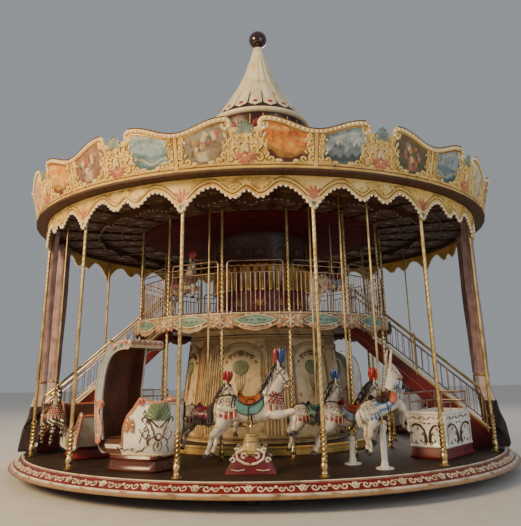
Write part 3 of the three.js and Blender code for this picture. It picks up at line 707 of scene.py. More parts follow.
def crownRun():
    half = [(s, crownEdge(s)) for s in spread(crown["half"], crown["peakAt"], 22)]
    return half + spiral(crown["peakAt"] - 0.012, crown["peakTop"] - 0.092, 0.092, 0.022, 90, 540, 26)


def lifted(path, lift):
    return [(x, y, lift) for x, y in path]


def alongBelow(path, down):
    moved = []
    for i, (x, y) in enumerate(path):
        ax, ay = path[max(i - 1, 0)]
        bx, by = path[min(i + 1, len(path) - 1)]
        dx, dy = bx - ax, by - ay
        size = math.hypot(dx, dy) or 1
        moved.append((x + down * -dy / size, y + down * dx / size))
    return moved


def bothSides(form, paths, radius, lift, look, sides=6):
    for path in paths:
        radii = [radius * (1 - 0.55 * t ** 2) for t in spread(0, 1, len(path) - 1)]
        for side in (path, mirrored(path)):
            form.add(bead(lifted(side, lift), radii, sides), look)


gilt = (0.9, 0.72, 0.42)
cream = "#F8D47C"
coral = "#C87A5A"
teal = "#5F8884"
greyTeal = "#8B9C92"
sage = "#8E9A74"


def crownBay():
    form = Form(crownPlace)
    columns = spread(-crown["half"] + 0.004, crown["half"] - 0.004, 52)
    for lift in (-0.008, -0.02):
        rows = [[
            (s, crown["foot"] + (crownEdge(s) + 0.02 - crown["foot"]) * t, lift) for s in columns
        ] for t in spread(0, 1, 8)]
        form.add(sheetShape(rows), "creamEnamel")
    run = crownRun()
    radii = [crown["bead"] * (1 - 0.66 * max(0, (i - 20) / (len(run) - 21))) for i in range(len(run))]
    for side in (run, mirrored(run)):
        form.add(bead(lifted(side, -0.012), radii, 8, 0.42), "creamEnamel")
        form.add(tubeShape(
            lifted(alongBelow(side[:26], 0.047 if side is run else -0.047), -0.004), 0.008, 5,
        ), "#7A4A22")
        form.add(tubeShape(
            lifted(alongBelow(side[:24], -0.043 if side is run else 0.043), -0.012), 0.014, 5,
        ), "#56300E")
    for s in (-crown["half"] + 0.02, crown["half"] - 0.02):
        high = crownEdge(s) - 0.04
        path = [(s, z, -0.004) for z in spread(crown["foot"], high, 6)]
        form.add(bead(path, crown["seamBatten"], 6), "creamEnamel")
    for s in (-crown["half"] + 0.042, crown["half"] - 0.042):
        path = [(s, z, -0.004) for z in spread(crown["foot"] + 0.09, crownEdge(s) - 0.06, 6)]
        form.add(tubeShape(path, 0.007, 5), "#8A5A2C")
    for up, radius, colour in ((5.145, 0.022, cream), (5.185, 0.009, "#8A5A2C"), (5.215, 0.014, cream)):
        path = [(s, up, -0.006) for s in columns]
        form.add(bead(path, radius, 6, 0.75), colour)
    scrolls = [
        spiral(0.17, 5.64, 0.10, 0.016, 40, 420), spiral(0.15, 5.43, 0.075, 0.014, -60, 330),
        spiral(0.24, 5.30, 0.085, 0.014, 150, -230), spiral(0.35, 5.36, 0.055, 0.012, 250, 620),
        spiral(0.34, 5.56, 0.06, 0.012, 120, 480), spiral(0.45, 5.262, 0.05, 0.01, 180, -180),
        spiral(1.13, 5.30, 0.06, 0.012, 60, 420), spiral(1.12, 5.44, 0.05, 0.01, 280, -80),
        spiral(1.12, 5.56, 0.05, 0.01, 60, 420), spiral(1.10, 5.655, 0.045, 0.01, 260, -120),
        spiral(0.98, 5.27, 0.05, 0.01, 0, 360), spiral(0.58, 5.25, 0.035, 0.009, 180, 520, 12),
        spiral(0.86, 5.25, 0.035, 0.009, 0, -340, 12), spiral(0.05, 5.52, 0.05, 0.01, 0, 320, 12),
        [(0.24, 5.74), (0.21, 5.70), (0.23, 5.62), (0.29, 5.56), (0.28, 5.48), (0.22, 5.42), (0.26, 5.35)],
        [(0.10, 5.80), (0.12, 5.74), (0.09, 5.67), (0.03, 5.62), (0.06, 5.56)],
    ]
    bothSides(form, scrolls, 0.021, -0.001, cream)
    # Painted shadow: a thin dark brown line runs beside each cream scroll.
    paintedShadowLines = [alongBelow(path, 0.019) for path in scrolls]
    bothSides(form, paintedShadowLines, 0.011, -0.007, "#56300E", 4)
    leaves = [
        (0.30, 5.62, 0.11, 0.05, 60), (0.31, 5.50, 0.09, 0.045, -20), (0.20, 5.50, 0.09, 0.045, 100),
        (0.50, 5.25, 0.10, 0.04, 8), (0.64, 5.245, 0.08, 0.035, 172), (0.80, 5.245, 0.09, 0.035, 4),
        (0.92, 5.25, 0.09, 0.04, 176), (1.05, 5.36, 0.08, 0.04, 130), (1.15, 5.37, 0.08, 0.035, 95),
        (1.15, 5.50, 0.07, 0.035, -90), (1.06, 5.62, 0.08, 0.04, 210), (0.16, 5.55, 0.08, 0.04, 200),
    ]
    for x, y, long, wide, turn in leaves:
        for sign in (1, -1):
            leaf = sideLeaf(sign, x, y, long, wide, turn, 0.014)
            form.add(leaf, cream if turn % 2 else gilt)
    for k in range(-4, 5):
        long = 0.15 + 0.020 * abs(k)
        form.add(leafShape(0, 5.335, long, 0.060, 270 + k * 24, 0.020), coral if k % 2 else "#DB8A6A")
    for k in range(-2, 3):
        form.add(leafShape(0.012 * k, 5.32, 0.13 - 0.012 * abs(k), 0.05, 90 + k * 30, 0.016), coral)
    form.add(ballShape((0, 5.325, 0.01), (0.032, 0.028, 0.018), 8, 6), cream)
    form.add(movedShell(0, 5.655, 0.30, 0.26, 7, 0.02, -0.006), greyTeal)
    form.add(movedShell(0, 5.36, 0.13, 0.20, 5, 0.016), gilt)
    tuft = [(0.0, 5.86, 0.075, 0.035, 90), (0.025, 5.85, 0.065, 0.03, 55), (-0.025, 5.85, 0.065, 0.03, 125)]
    for x, y, long, wide, turn in tuft:
        form.add(leafShape(x, y, long, wide, turn), "#4E6E66")
    return form


seat("crownBoards", roundAxis(crownBay(), bays), stands=("crown_boards",), sharp=60)
bulbPath = [
    [crownPlace(s, z, 0.001) for s, z in side] for side in (crownRun()[:34], mirrored(crownRun()[:34]))
]
bulbLine = bulbsOn(bulbPath, crown["bulbSpacing"], crown["bulb"])
seat("crownBulbs", ringOf(bulbLine, "opalGlass", bays), sharp=0)
print("crown boards ready")


# Pictures: flowers, hills, skies and wreaths brushed on each half board, no two alike
pictures = {
    "left": 0.315, "right": 1.075, "low": 5.238, "columns": 46, "rows": 26,
    "grounds": [  # kind, upper, lower and near colour, accent
        ("posy", "#A39783", "#8C7A62", "#6A5B45", "#E8DCC4"),
        ("dusk", "#E2762B", "#F2B24C", "#5A2A1C", "#FBE08A"),
        (
            "peaks", "#8FA0A9", "#B4BDBB", "#5B6A6E", "#E8E4D8",
        ), ("posy", "#77623F", "#5E5A3C", "#46492E", "#D88C72"),
        (
            "lake", "#8DA2B2", "#A9B5B4", "#4F6A70", "#D9C79C",
        ), ("wreath", "#E9DDBB", "#DCCB9F", "#B99A66", "#C77A5E"),
        (
            "posy", "#C98F6C", "#B37A58", "#7B4E39", "#F1E2C0",
        ), ("lake", "#6FA3B8", "#A8C3BE", "#3F6F68", "#F0DDA8"),
        (
            "dusk", "#D98A4A", "#EFC27A", "#6B3D26", "#FFF0BE",
        ), ("wreath", "#A9B6A2", "#90A08C", "#5F7060", "#E7B9A2"),
        (
            "peaks", "#9FB4C4", "#CBD3CE", "#66787A", "#F3EEDF",
        ), ("posy", "#B98E7E", "#9A6F60", "#6E4A40", "#F3D9A8"),
        (
            "wreath", "#E6BFA2", "#DDA98C", "#A9705A", "#F6E6C6",
        ), ("dusk", "#E2913A", "#F2C35E", "#7A4426", "#FFE9A0"),
        (
            "posy", "#A98270", "#8C6658", "#5E4038", "#EAD2B4",
        ), ("lake", "#7FA6C0", "#A9C0C4", "#47707A", "#E9DDB4"),
    ],
}


def hexArray(code):
    return np.array(linear(code))


def brushPicture(kind, upper, lower, near, accent, k, t, seed):
    chance = np.random.default_rng(seed)
    upper, lower, near, accent = (hexArray(c) for c in (upper, lower, near, accent))
    fade = t[:, None]
    colour = lower * (1 - fade) + upper * fade

    def lay(mask, over):
        amount = np.clip(mask, 0, 1)[:, None]
        colour[:] = colour * (1 - amount) + over * amount

    if kind in ("dusk", "lake", "peaks"):
        for _ in range(5):  # drifts of cloud
            x, y = chance.uniform(0, 1), chance.uniform(0.62, 0.95)
            long, tall = chance.uniform(0.12, 0.3), 0.05
            lay(1.4 - ((k - x) / long) ** 2 - ((t - y) / tall) ** 2, colour * 0.55 + accent * 0.45)
    if kind == "dusk":
        lay(6 * (0.11 - np.hypot((k - 0.62) * 1.6, t - 0.52)), accent)
        ridge = 0.34 + 0.05 * np.sin(k * 7 + seed) + 0.03 * np.sin(k * 17)
        lay(30 * (ridge - t), near * 0.6 + lower * 0.4)
        lay(30 * (ridge - 0.14 + 0.04 * np.cos(k * 9) - t), near)
    if kind == "lake":
        lay(30 * (0.5 + 0.07 * np.sin(k * 5 + seed) - t), near * 0.5 + upper * 0.5)
        lay(30 * (0.36 - t), upper * 0.75)
        lay(1.2 * np.sin(t * 120 + 3 * np.sin(k * 9)) * (t < 0.34), accent * 0.8)
        lay(30 * (0.12 + 0.2 * (1 - k) ** 3 - t), near)
    if kind == "peaks":
        for x, high, wide in ((0.25, 0.72, 0.5), (0.68, 0.82, 0.42), (0.95, 0.6, 0.4)):
            slope = high - np.abs(k - x) / wide * 0.9
            lay(30 * (slope - t), near + 0.1)
            lay(30 * (slope - t) * (t > high - 0.2 + 0.05 * np.sin(k * 60)), accent)
        lay(30 * (0.26 + 0.05 * np.sin(k * 30) - t), near * 0.5)
        lay(30 * (0.12 - t), near * 0.8 + hexArray("#4F5B33") * 0.2)
    if kind in ("posy", "wreath"):
        blooms = []
        for i in range(16):
            if kind == "wreath":
                a = 2 * math.pi * i / 16
                blooms.append(
                    (0.5 + 0.3 * math.cos(a), 0.5 + 0.32 * math.sin(a), chance.uniform(0.05, 0.085))
                )
            else:
                blooms.append(
                    (chance.uniform(0.25, 0.75), chance.uniform(0.35, 0.85), chance.uniform(0.06, 0.12))
                )
        if kind == "posy":
            lay(20 * (0.16 - np.abs(k - 0.5) * (1.2 - t)) * (t < 0.36) * (t > 0.1), accent * 0.7 + near * 0.3)
        for x, y, size in blooms:
            leaf = np.hypot((k - x - size * 0.7) * 1.7, (t - y + size * 0.8) * 0.9)
            lay(14 * (size * 0.9 - leaf), hexArray("#55663F"))
        tones = [accent, hexArray("#C8604F"), hexArray("#EAD9B8"), hexArray("#B77F95"), hexArray("#D9A24A")]
        for i, (x, y, size) in enumerate(blooms):
            away = np.hypot((k - x) * 1.7, t - y)
            lay(22 * (size - away), tones[i % 5])
            lay(22 * (size * 0.55 - away), tones[i % 5] * 0.72)
            lay(30 * (size * 0.22 - away), hexArray("#E7C46A"))
    brush = 0.06 * np.sin(k * 37 + 5 * np.sin(t * 23 + seed)) * np.sin(t * 41 + seed)
    return np.clip(colour * (1 + brush[:, None]), 0, 1)


def pictureShape(side):
    setup = pictures
    rows = []
    for t in spread(0, 1, setup["rows"]):
        left = setup["left"] + 0.05 * math.sin(2 * math.pi * t) + 0.035 * (2 * t - 1) ** 4
        right = setup["right"] + 0.02 * math.sin(3 * math.pi * t) - 0.03 * (2 * t - 1) ** 4
        row = []
        for k in spread(0, 1, setup["columns"]):
            s = left + (right - left) * k
            low = setup["low"] + 0.018 * math.cos(2 * math.pi * k)
            row.append((side * s, low + (crownEdge(s) - 0.06 - low) * t, -0.0065))
        rows.append(row)
    return sheetShape(rows)


def crownPictures():
    form = Form(paint="oilPaint")
    k = np.tile(np.array(spread(0, 1, pictures["columns"])), pictures["rows"] + 1)
    t = np.repeat(np.array(spread(0, 1, pictures["rows"])), pictures["columns"] + 1)
    for half in range(2 * bays):
        kind, *colours = pictures["grounds"][half % 12 if half < 24 else half - 12]
        side = 1 if half % 2 else -1
        turn = math.radians(half // 2 * bay)
        tints = brushPicture(kind, *colours, k, t, half)

        def place(across, up, lift, turn=turn):
            x, y, z = crownPlace(across, up, lift)
            return x * math.cos(turn) - y * math.sin(turn), x * math.sin(turn) + y * math.cos(turn), z

        form.add(pictureShape(side), [tuple(c) for c in tints], move=place)
    return form


def pictureFrames():
    form = Form(crownPlace)
    points, _ = pictureShape(1)
    wide = pictures["columns"] + 1
    rim = points[:wide] + points[2 * wide - 1::wide] + points[-2:-wide - 1:-1] + points[-2 * wide:0:-wide]
    for side in (1, -1):
        path = [(side * x, y, -0.004) for x, y, _ in rim[::2]]
        form.add(bead(path, 0.0105, 5, 0.8, True), "giltMetal")
    return form


seat("crownPictures", crownPictures().mesh("crownPictures", True, False), sharp=0)
seat("pictureFrames", roundAxis(pictureFrames(), bays), sharp=0)
print("crown pictures ready")


# Valance: the scalloped fringe between the poles, with a leaf fan above each pole
valance = {
    "radius": 5.030, "top": 5.077, "tip": 4.50, "arch": 4.93, "lobe": 4.72, "middle": 4.85, "bulb": 0.027,
    "bulbSpacing": 0.088, "roll": 0.029,
}


def valancePlace(across, up, lift):
    return polar(valance["radius"] + lift, math.degrees(across / valance["radius"]), up)


def valanceEdge(u):
    u = abs(u)
    if u > 0.26:
        return valance["arch"] - (valance["arch"] - valance["tip"]) * ((u - 0.26) / 0.24) ** 2
    return easeBetween([(0, valance["middle"]), (0.1, valance["lobe"]), (0.26, valance["arch"])], u)


def valanceBay():
    form = Form(valancePlace)
    width = math.radians(bay) * valance["radius"]
    stops = spread(-0.5, 0.5, 64)
    for lift in (0.004, -0.006):
        rows = [[
            (u * width, valanceEdge(u) + (valance["top"] - valanceEdge(u)) * t, lift) for u in stops
        ] for t in spread(0, 1, 4)]
        form.add(sheetShape(rows), "creamEnamel")
    edge = [(u * width, valanceEdge(u)) for u in stops]
    form.add(bead(lifted(edge, 0), valance["roll"], 6, 0.6), "creamEnamel")
    # Painted shadow: dark brown lines run either side of the cream roll, partly an outline.
    for rise, radius, colour in ((0.046, 0.008, "#6E4318"), (0.082, 0.020, cream), (0.113, 0.007, "#7A4A1E")):
        line = [(
            u * width, min(valanceEdge(u) + rise + 0.6 * rise * abs(2 * u) ** 6, 5.05),
        ) for u in stops[2:-2]]
        form.add(bead(lifted(line, 0.006), radius, 5, 0.8), colour)
    form.add(tubeShape([(s, 5.062, 0.006) for s, _ in edge], 0.012, 5), cream)
    for side in (-1, 1):
        pole = side * 0.5 * width
        for k in range(1, 5):
            turn = 90 + side * (k - 0.5) * 21
            leaf = leafShape(pole, 4.66, 0.30 - 0.025 * k, 0.075, turn, 0.012)
            form.add(leaf, coral if k < 4 else gilt)
        leaf = leafShape(pole - side * 0.012, 4.64, 0.16, 0.07, 270 - side * 14, 0.012)
        form.add(leaf, teal)
        for path, radius in (
            (spiral(side * 0.70, 5.00, 0.055, 0.01, 90 - side * 90, 90 + side * 270), 0.012),
            (spiral(side * 0.42, 4.985, 0.05, 0.01, 90 + side * 90, 90 - side * 250), 0.012),
            (spiral(side * 0.24, 4.87, 0.06, 0.012, 90 + side * 60, 90 - side * 300), 0.013),
            (spiral(side * 0.11, 4.97, 0.045, 0.01, 90 - side * 60, 90 + side * 280), 0.011),
        ):
            form.add(bead(lifted(path, 0.006), radius), cream)
            # Painted shadow: a thin brown line runs beside each scroll.
            shade = alongBelow(path, 0.013)
            form.add(tubeShape(lifted(shade, 0.005), 0.005, 4), "#8A5A2C")
        for x, y, turn in ((0.56, 5.02, 0), (0.33, 5.02, 180), (0.17, 4.80, 250)):
            leaf = sideLeaf(side, x, y, 0.12, 0.045, turn, 0.01)
            form.add(leaf, gilt)
    form.add(movedShell(0, 4.91, 0.17, 0.15, 5, 0.014, 0.004), cream)
    return form


seat("outerValance", roundAxis(valanceBay(), bays), stands=("outer_valance",), sharp=60)
fringeWidth = math.radians(bay) * valance["radius"]
fringe = [valancePlace(u * fringeWidth, valanceEdge(u) - 0.03, -0.004) for u in spread(-0.476, 0.476, 96)]
fringeBulbs = bulbsOn([fringe], valance["bulbSpacing"], valance["bulb"])
seat("valanceBulbs", ringOf(fringeBulbs, "opalGlass", bays), sharp=0)
print("valance ready")


# Ceiling: ribs, ring mouldings and scrolled panels under the boards, an inner scalloped ring of lamps
roofInside = {
    "ceiling": 5.079, "ribs": 28, "ribDrop": 0.05, "rings": [4.72, 4.35, 3.4, 2.9, 1.9], "maroonTo": 2.88,
    "innerRadius": 3.91, "innerLow": 4.88, "innerArch": 4.99, "lamp": 0.022, "lampSpacing": 0.12,
}


def ceilingBay():
    form = Form()
    step = bay / 2
    for k in (-0.5, 0.5):
        rows = []
        for radius in spread(2.86, 4.93, 5):
            x, y, _ = polar(radius, k * step, 0)
            side = Vector((math.cos(math.radians(k * step)), math.sin(math.radians(k * step)), 0)) * 0.03
            high, low = roofInside["ceiling"], roofInside["ceiling"] - roofInside["ribDrop"]
            rows.append([
                (x - side.x, y - side.y, high), (x - side.x, y - side.y, low + 0.01), (x, y, low),
                (x + side.x, y + side.y, low + 0.01), (x + side.x, y + side.y, high),
            ])
        form.add(loftShape(rows), "brownPaint")

    def under(across, out, lift):
        return polar(out, math.degrees(across / out), roofInside["ceiling"] - lift)

    # Painted shade: the ceiling's scrolls and leaves are darkened to brown as if in shadow.
    for side in (-1, 1):
        for out, size in ((4.55, 0.12), (4.15, 0.10), (3.62, 0.09), (3.1, 0.08)):
            path = spiral(side * 0.26 * out / 4, out, size, 0.02, 90 - side * 90, 90 + side * 330, 14)
            form.add(bead(lifted(path, 0.012), 0.016, 5, 0.6), "#755838", move=under)
    for out in (4.5, 4.0, 3.2):
        for turn in (60, 90, 120):
            form.add(leafShape(0, out, 0.18, 0.07, turn), "#80603C", move=under)
    return form


def innerScallop():
    low, arch = roofInside["innerLow"], roofInside["innerArch"]
    stops = [i * bay / 24 for i in range(24 * bays)]
    return [(a, low + (arch - low) * math.sin(math.pi * (a / bay % 0.5 * 2)) ** 0.7) for a in stops]


def ceilingRings():
    form = Form()
    top = roofInside["ceiling"]
    for radius in roofInside["rings"]:
        profile = [(radius - 0.03, top), (
            radius - 0.022, top - 0.022,
        ), (radius, top - 0.03), (radius + 0.022, top - 0.022), (radius + 0.03, top)]
        form.add(turnedShape(profile, 84), "brownPaint")
    form.add(turnedShape([(1.16, top), (1.16, top - 0.058), (
        roofInside["maroonTo"], top - 0.058,
    ), (roofInside["maroonTo"], top)], 84), "maroonMatt")
    # Painted shade: the inner scalloped ring is darkened to chocolate brown as if in the roof's shadow.
    for face in (roofInside["innerRadius"], roofInside["innerRadius"] + 0.012):
        rows = []
        for t in spread(0, 1, 3):
            row = [polar(face, a, low + (top - low) * t) for a, low in innerScallop()]
            rows.append(row + [row[0]])
        form.add(sheetShape(rows), "brownPaint")
    return form


seat("ceilingRibs", roundAxis(ceilingBay(), roofInside["ribs"], bay / 2))
seat("ceilingRings", ceilingRings().mesh("ceilingRings"), stands=("inner_valance",))
innerLampLine = [polar(roofInside["innerRadius"] + 0.006, a, low) for a, low in innerScallop()]
# The inner lamps use glass darkened as painted shade.
innerLamps = bulbsOn([innerLampLine], roofInside["lampSpacing"], roofInside["lamp"], "shadedLampGlass", True)
seat("innerLamps", innerLamps, sharp=0)
print("ceiling ready")


# Spire: long ivory petals laid over a maroon cone, a white ring under them, and a glossy ball
spire = {"petals": 18, "firstPetal": -2.0, "cone": [
    (8.17, 1.19), (8.48, 0.995), (8.83, 0.775), (9.2, 0.555), (9.64, 0.355), (10.1, 0.196), (10.54, 0.072),
], "petalEnd": 8.27, "petalFree": 8.75, "petalHalf": 8.5}


def spirePlace(angle, up, lift):
    return polar(between(spire["cone"], up) + lift, angle, up)


def petalForm():
    form = Form()
    rows = []
    for t in spread(0, 1, 26):
        up = spire["petalEnd"] + (10.5 - spire["petalEnd"]) * t
        away = up - spire["petalEnd"]
        half = spire["petalHalf"] * min(1, math.sqrt(max(0.0, 1 - (1 - min(away / 0.12, 1)) ** 2)) + 0.02)
        if up > spire["petalFree"]:
            half = min(10, spire["petalHalf"] + (up - spire["petalFree"]) * 9)
        row = []
        for side in spread(-1, 1, 8):
            row.append(spirePlace(side * half, up, 0.016 + 0.02 * (1 - side * side) * min(1, away / 0.1)))
        rows.append(row)
    form.add(sheetShape(rows), "ivoryEnamel")
    edge = [row[0] for row in rows[:12]][::-1] + [row[-1] for row in rows[:12]]
    form.add(tubeShape(edge, 0.012, 5), "#F8F1DC")
    up = spire["petalEnd"] + 0.13
    centre = spirePlace(0, up, 0.036)
    lean = Vector(spirePlace(0, up + 0.1, 0.036)) - Vector(centre)
    rows = []
    for r in (1.0, 0.6, 0.05):
        rows.append([(
            centre[0] + 0.062 * r * math.cos(t),
            centre[1] - 0.012 * (1 - r) + lean.y * 0.5 * r * math.sin(t),
            centre[2] + lean.z * 0.5 * r * math.sin(t),
        ) for t in turns(12)])
    form.add(loftShape(rows), "#B32A2E")
    return form


def spireBody():
    form = Form()
    form.add(turnedShape(
        [(0.2, 8.171)] + [(r, z) for z, r in spire["cone"]] + [(0.01, 10.54)], 54,
    ), "maroonEnamel")
    ring = [
        (1.22, 8.02), (1.29, 8.03), (1.325, 8.06), (1.335, 8.09), (1.325, 8.125), (1.29, 8.15),
        (1.2, 8.165),
    ]
    form.add(turnedShape([(0.3, 8.17), *ring[::-1], (0.3, 8.01)], 72), "ivoryEnamel")
    wall = [
        (1.235, 7.41), (1.26, 7.44), (1.235, 7.48), (1.22, 7.6), (1.235, 7.95), (1.26, 8.0), (1.235, 8.03),
    ]
    form.add(turnedShape([(0.4, 7.402), *wall, (0.4, 8.03)], 72), "maroonEnamel")
    for k in range(24):
        path = [polar(1.236, k * 15 + 7.5, z) for z in spread(7.5, 7.98, 4)]
        form.add(tubeShape(path, 0.018, 5), "#C9A05A")
    for k in range(24):
        form.add(
            movedShell(0, 7.62, 0.24, 0.24, 5, 0.02), "#A8926A" if k % 2 else "#8A2C2A",
            move=lambda x, y, z, k=k: polar(1.225 + z, k * 15 + math.degrees(x / 1.22), y),
        )
    return form


def spireBall():
    form = Form()
    rows = [(0.062, 10.541), (0.075, 10.555), (0.07, 10.575)]
    rows += [(
        0.25 * math.sin(math.radians(a)), 10.775 - 0.25 * math.cos(math.radians(a)),
    ) for a in range(18, 181, 9)]
    form.add(turnedShape(rows, 36), "glossBall")
    return form


petals = roundAxis(petalForm(), spire["petals"], 360 / spire["petals"], spire["firstPetal"])
seat("spirePetals", petals, sharp=50)
seat("spireBody", spireBody().mesh("spireBody"), stands=("spire_base", "spire_cone"))
seat("spireBall", spireBall().mesh("spireBall"), stands=("spire_ball",), sharp=0)
print("spire ready")


# Tilt: sewn gores laid over the roof frame, a seam rib on each
tilt = {"foot": (5.232, 5.333), "head": (1.29, 7.402), "gores": 28, "sag": 0.05}


def tiltForm():
    form = Form()
    steps = tilt["gores"] * 6
    rows = []
    for t in spread(0, 1, 14):
        radius = tilt["foot"][0] + (tilt["head"][0] - tilt["foot"][0]) * t
        up = tilt["foot"][1] + (tilt["head"][1] - tilt["foot"][1]) * t
        row = []
        for i in range(steps):
            phase = i % 6 / 6
            drop = tilt["sag"] * math.sin(math.pi * phase) * math.sin(math.pi * t)
            row.append(polar(radius - 0.45 * drop, i * 360 / steps, up - 0.9 * drop))
        rows.append(row + [row[0]])
    form.add(sheetShape(rows), "tiltSheet")
    for k in range(tilt["gores"]):
        path = []
        for t in spread(0, 1, 6):
            radius = tilt["foot"][0] + (tilt["head"][0] - tilt["foot"][0]) * t
            path.append(polar(radius, k * 360 / tilt["gores"], tilt["foot"][1] + (
                tilt["head"][1] - tilt["foot"][1]
            ) * t + 0.006))
        form.add(tubeShape(path, 0.016, 5, flat=0.5), "tiltSheet")
    return form


seat("tiltGores", tiltForm().mesh("tiltGores", True, False))


# Poles: twisted brass tubes on turned feet, with a beam ring that ties each set
poles = {
    "outerRadius": 4.965, "outerFoot": 0.402, "outerTop": 5.0, "innerRadius": 2.94, "innerTop": 2.80,
    "galleryFoot": galleryTop, "galleryTop": 5.078, "thick": 0.034, "innerThick": 0.03,
}


def poleFoot(x, y, low, size=1.0):
    profile = [
        (0.0, 0.0), (0.085, 0.0), (0.088, 0.012), (0.06, 0.022), (0.046, 0.04), (0.052, 0.055),
        (0.045, 0.075), (0.05, 0.10), (0.06, 0.13), (0.055, 0.17), (0.042, 0.20), (0.052, 0.215),
        (0.042, 0.23), (0.036, 0.30),
    ]
    points, faces = turnedShape([(r * size, low + z * size) for r, z in profile], 14)
    return [(px + x, py + y, pz) for px, py, pz in points], faces


def beamRing(radius, half, low, high, start=0, sweep=360):
    profile = [(radius - half, high), (radius - half, low + 0.01), (radius - half + 0.01, low), (
        radius + half - 0.01, low,
    ), (radius + half, low + 0.01), (radius + half, high), (radius - half, high)]
    return turnedShape(profile, 84 if sweep >= 360 else 40, start, sweep)


def uprights(points, height, radius, lobes, depth, turns, rows, finishName):
    return grow(footPoints(points), twistedUprights, {
        "Height": height, "Radius": radius, "Lobes": lobes, "Depth": depth, "Turns": turns, "Rows": rows,
        "Finish": finishOf[finishName],
    })


halfAngles = [(k + 0.5) * bay for k in range(bays)]
outerFeet = [polar(poles["outerRadius"], a, poles["outerFoot"] + 0.62) for a in halfAngles]
outerShafts = uprights(
    outerFeet, poles["outerTop"] - poles["outerFoot"] - 0.62, poles["thick"], 5, 0.05, 16, 120,
    "reededBrass",
)
lowFeet = [polar(poles["outerRadius"], a, poles["outerFoot"] + 0.16) for a in halfAngles]
ropeFeet = uprights(lowFeet, 0.5, 0.044, 3, 0.22, 2.5, 36, "reededBrass")
outerTrim = Form()
for a in halfAngles:
    x, y, _ = polar(poles["outerRadius"], a, 0)
    outerTrim.add(poleFoot(x, y, poles["outerFoot"]), "reededBrass")
    for low in (0.62, 4.42):
        profile = [(0.03, -0.02), (0.052, -0.012), (0.058, 0.0), (0.052, 0.012), (0.03, 0.022)]
        points, faces = turnedShape([(r, poles["outerFoot"] + low + z) for r, z in profile], 12)
        outerTrim.add(([(px + x, py + y, pz) for px, py, pz in points], faces), "reededBrass")
outerTrim.add(beamRing(4.957, 0.032, 4.985, 5.079), "brownPaint")
seat(
    "outerPoles", together("outerPoles", [outerShafts, ropeFeet, outerTrim.mesh("feet")]),
    stands=("outer_poles",),
)

innerFeet = [polar(poles["innerRadius"], a, 0.56) for a in halfAngles]
innerShafts = uprights(
    innerFeet, poles["innerTop"] - 0.56, poles["innerThick"], 4, 0.10, 6, 60, "reededBrass",
)
innerTrim = Form()
for a in halfAngles:
    x, y, _ = polar(poles["innerRadius"], a, 0)
    innerTrim.add(poleFoot(x, y, 0.402, 0.8), "reededBrass")
gap = math.degrees(0.44 / 2.94)
for start in (3 * bay + gap, -3 * bay + gap):
    sweep = 6 * bay - 2 * gap if start < 0 else 8 * bay - 2 * gap
    innerTrim.add(beamRing(2.94, 0.044, 2.777, 2.853, start, sweep), "redEnamel")
seat(
    "innerPoles", together("innerPoles", [innerShafts, innerTrim.mesh("feet")]),
    stands=("inner_poles_front", "inner_poles_back"),
)
print("poles ready")


# Gallery railing: a hooped steel frame in each bay, two more rails and upright bars
railing = {
    "radius": 2.94, "floor": galleryTop, "top": 4.035, "second": 3.93, "barTop": 3.80, "low": 3.03,
    "tube": 0.016, "bars": 11,
}


def railingBay():
    form = Form()

    def at(u, up):
        left = Vector(polar(railing["radius"], -bay / 2, up))
        right = Vector(polar(railing["radius"], bay / 2, up))
        return tuple(left.lerp(right, u + 0.5))

    edge, bend = 0.425, 0.055
    hoop = [at(-edge, railing["floor"]), at(-edge, 3.5), at(-edge, railing["top"] - 0.08)]
    for a in spread(180, 90, 5):
        hoop.append(at(
            -edge + bend + bend * math.cos(math.radians(a)),
            railing["top"] - 0.07 + 0.07 * math.sin(math.radians(a)),
        ))
    hoop += [(-x, y, z) for x, y, z in hoop[::-1]]
    form.add(tubeShape(hoop, railing["tube"], 8), "warmLitSteel")
    for up in (railing["second"], railing["barTop"], railing["low"]):
        form.add(tubeShape([at(-edge, up), at(0, up), at(edge, up)], 0.012, 6), "warmLitSteel")
    for up in (railing["low"] + 0.02, railing["second"]):
        for side in (-1, 1):
            form.add(tubeShape([at(side * edge, up), at(side * 0.5, up)], 0.011, 6), "warmLitSteel")
    for k in range(railing["bars"]):
        u = -edge + 2 * edge * (k + 1) / (railing["bars"] + 1)
        form.add(tubeShape([at(u, railing["low"]), at(u, railing["barTop"])], 0.0085, 5), "warmLitSteel")
    return form


frontRail = railingBay().mesh("frontRail")
backRail = frontRail.copy()
sides = [ringOf(frontRail, "warmLitSteel", 5, bay, -2 * bay), ringOf(backRail, "warmLitSteel", 7, bay, 4 * bay)]
railAngles = [k * bay + bay / 2 for k in range(-3, 11)]
galleryFeet = [polar(railing["radius"], a, poles["galleryFoot"]) for a in railAngles]
galleryShafts = uprights(
    galleryFeet, poles["galleryTop"] - poles["galleryFoot"], poles["innerThick"], 4, 0.10, 6, 60,
    "reededBrass",
)
seat(
    "railingPanels", together("railingPanels", sides), stands=("railing_front", "railing_back"),
)
seat("galleryPoles", galleryShafts)
print("railing ready")


# Gallery fascia: moulded scalloped boards with a long cartouche in each bay and a shield at each pole
fascia = {
    "radius": 3.026, "top": 3.0,
    "lows": [(0, 2.642), (0.12, 2.667), (0.3, 2.752), (0.42, 2.737), (0.5, 2.692)],
}


def fasciaPlace(across, up, lift):
    return polar(fascia["radius"] + lift, math.degrees(across / fascia["radius"]), up)


def fasciaEdge(u):
    return easeBetween(fascia["lows"], abs(u))


beige = "#C3A37E"


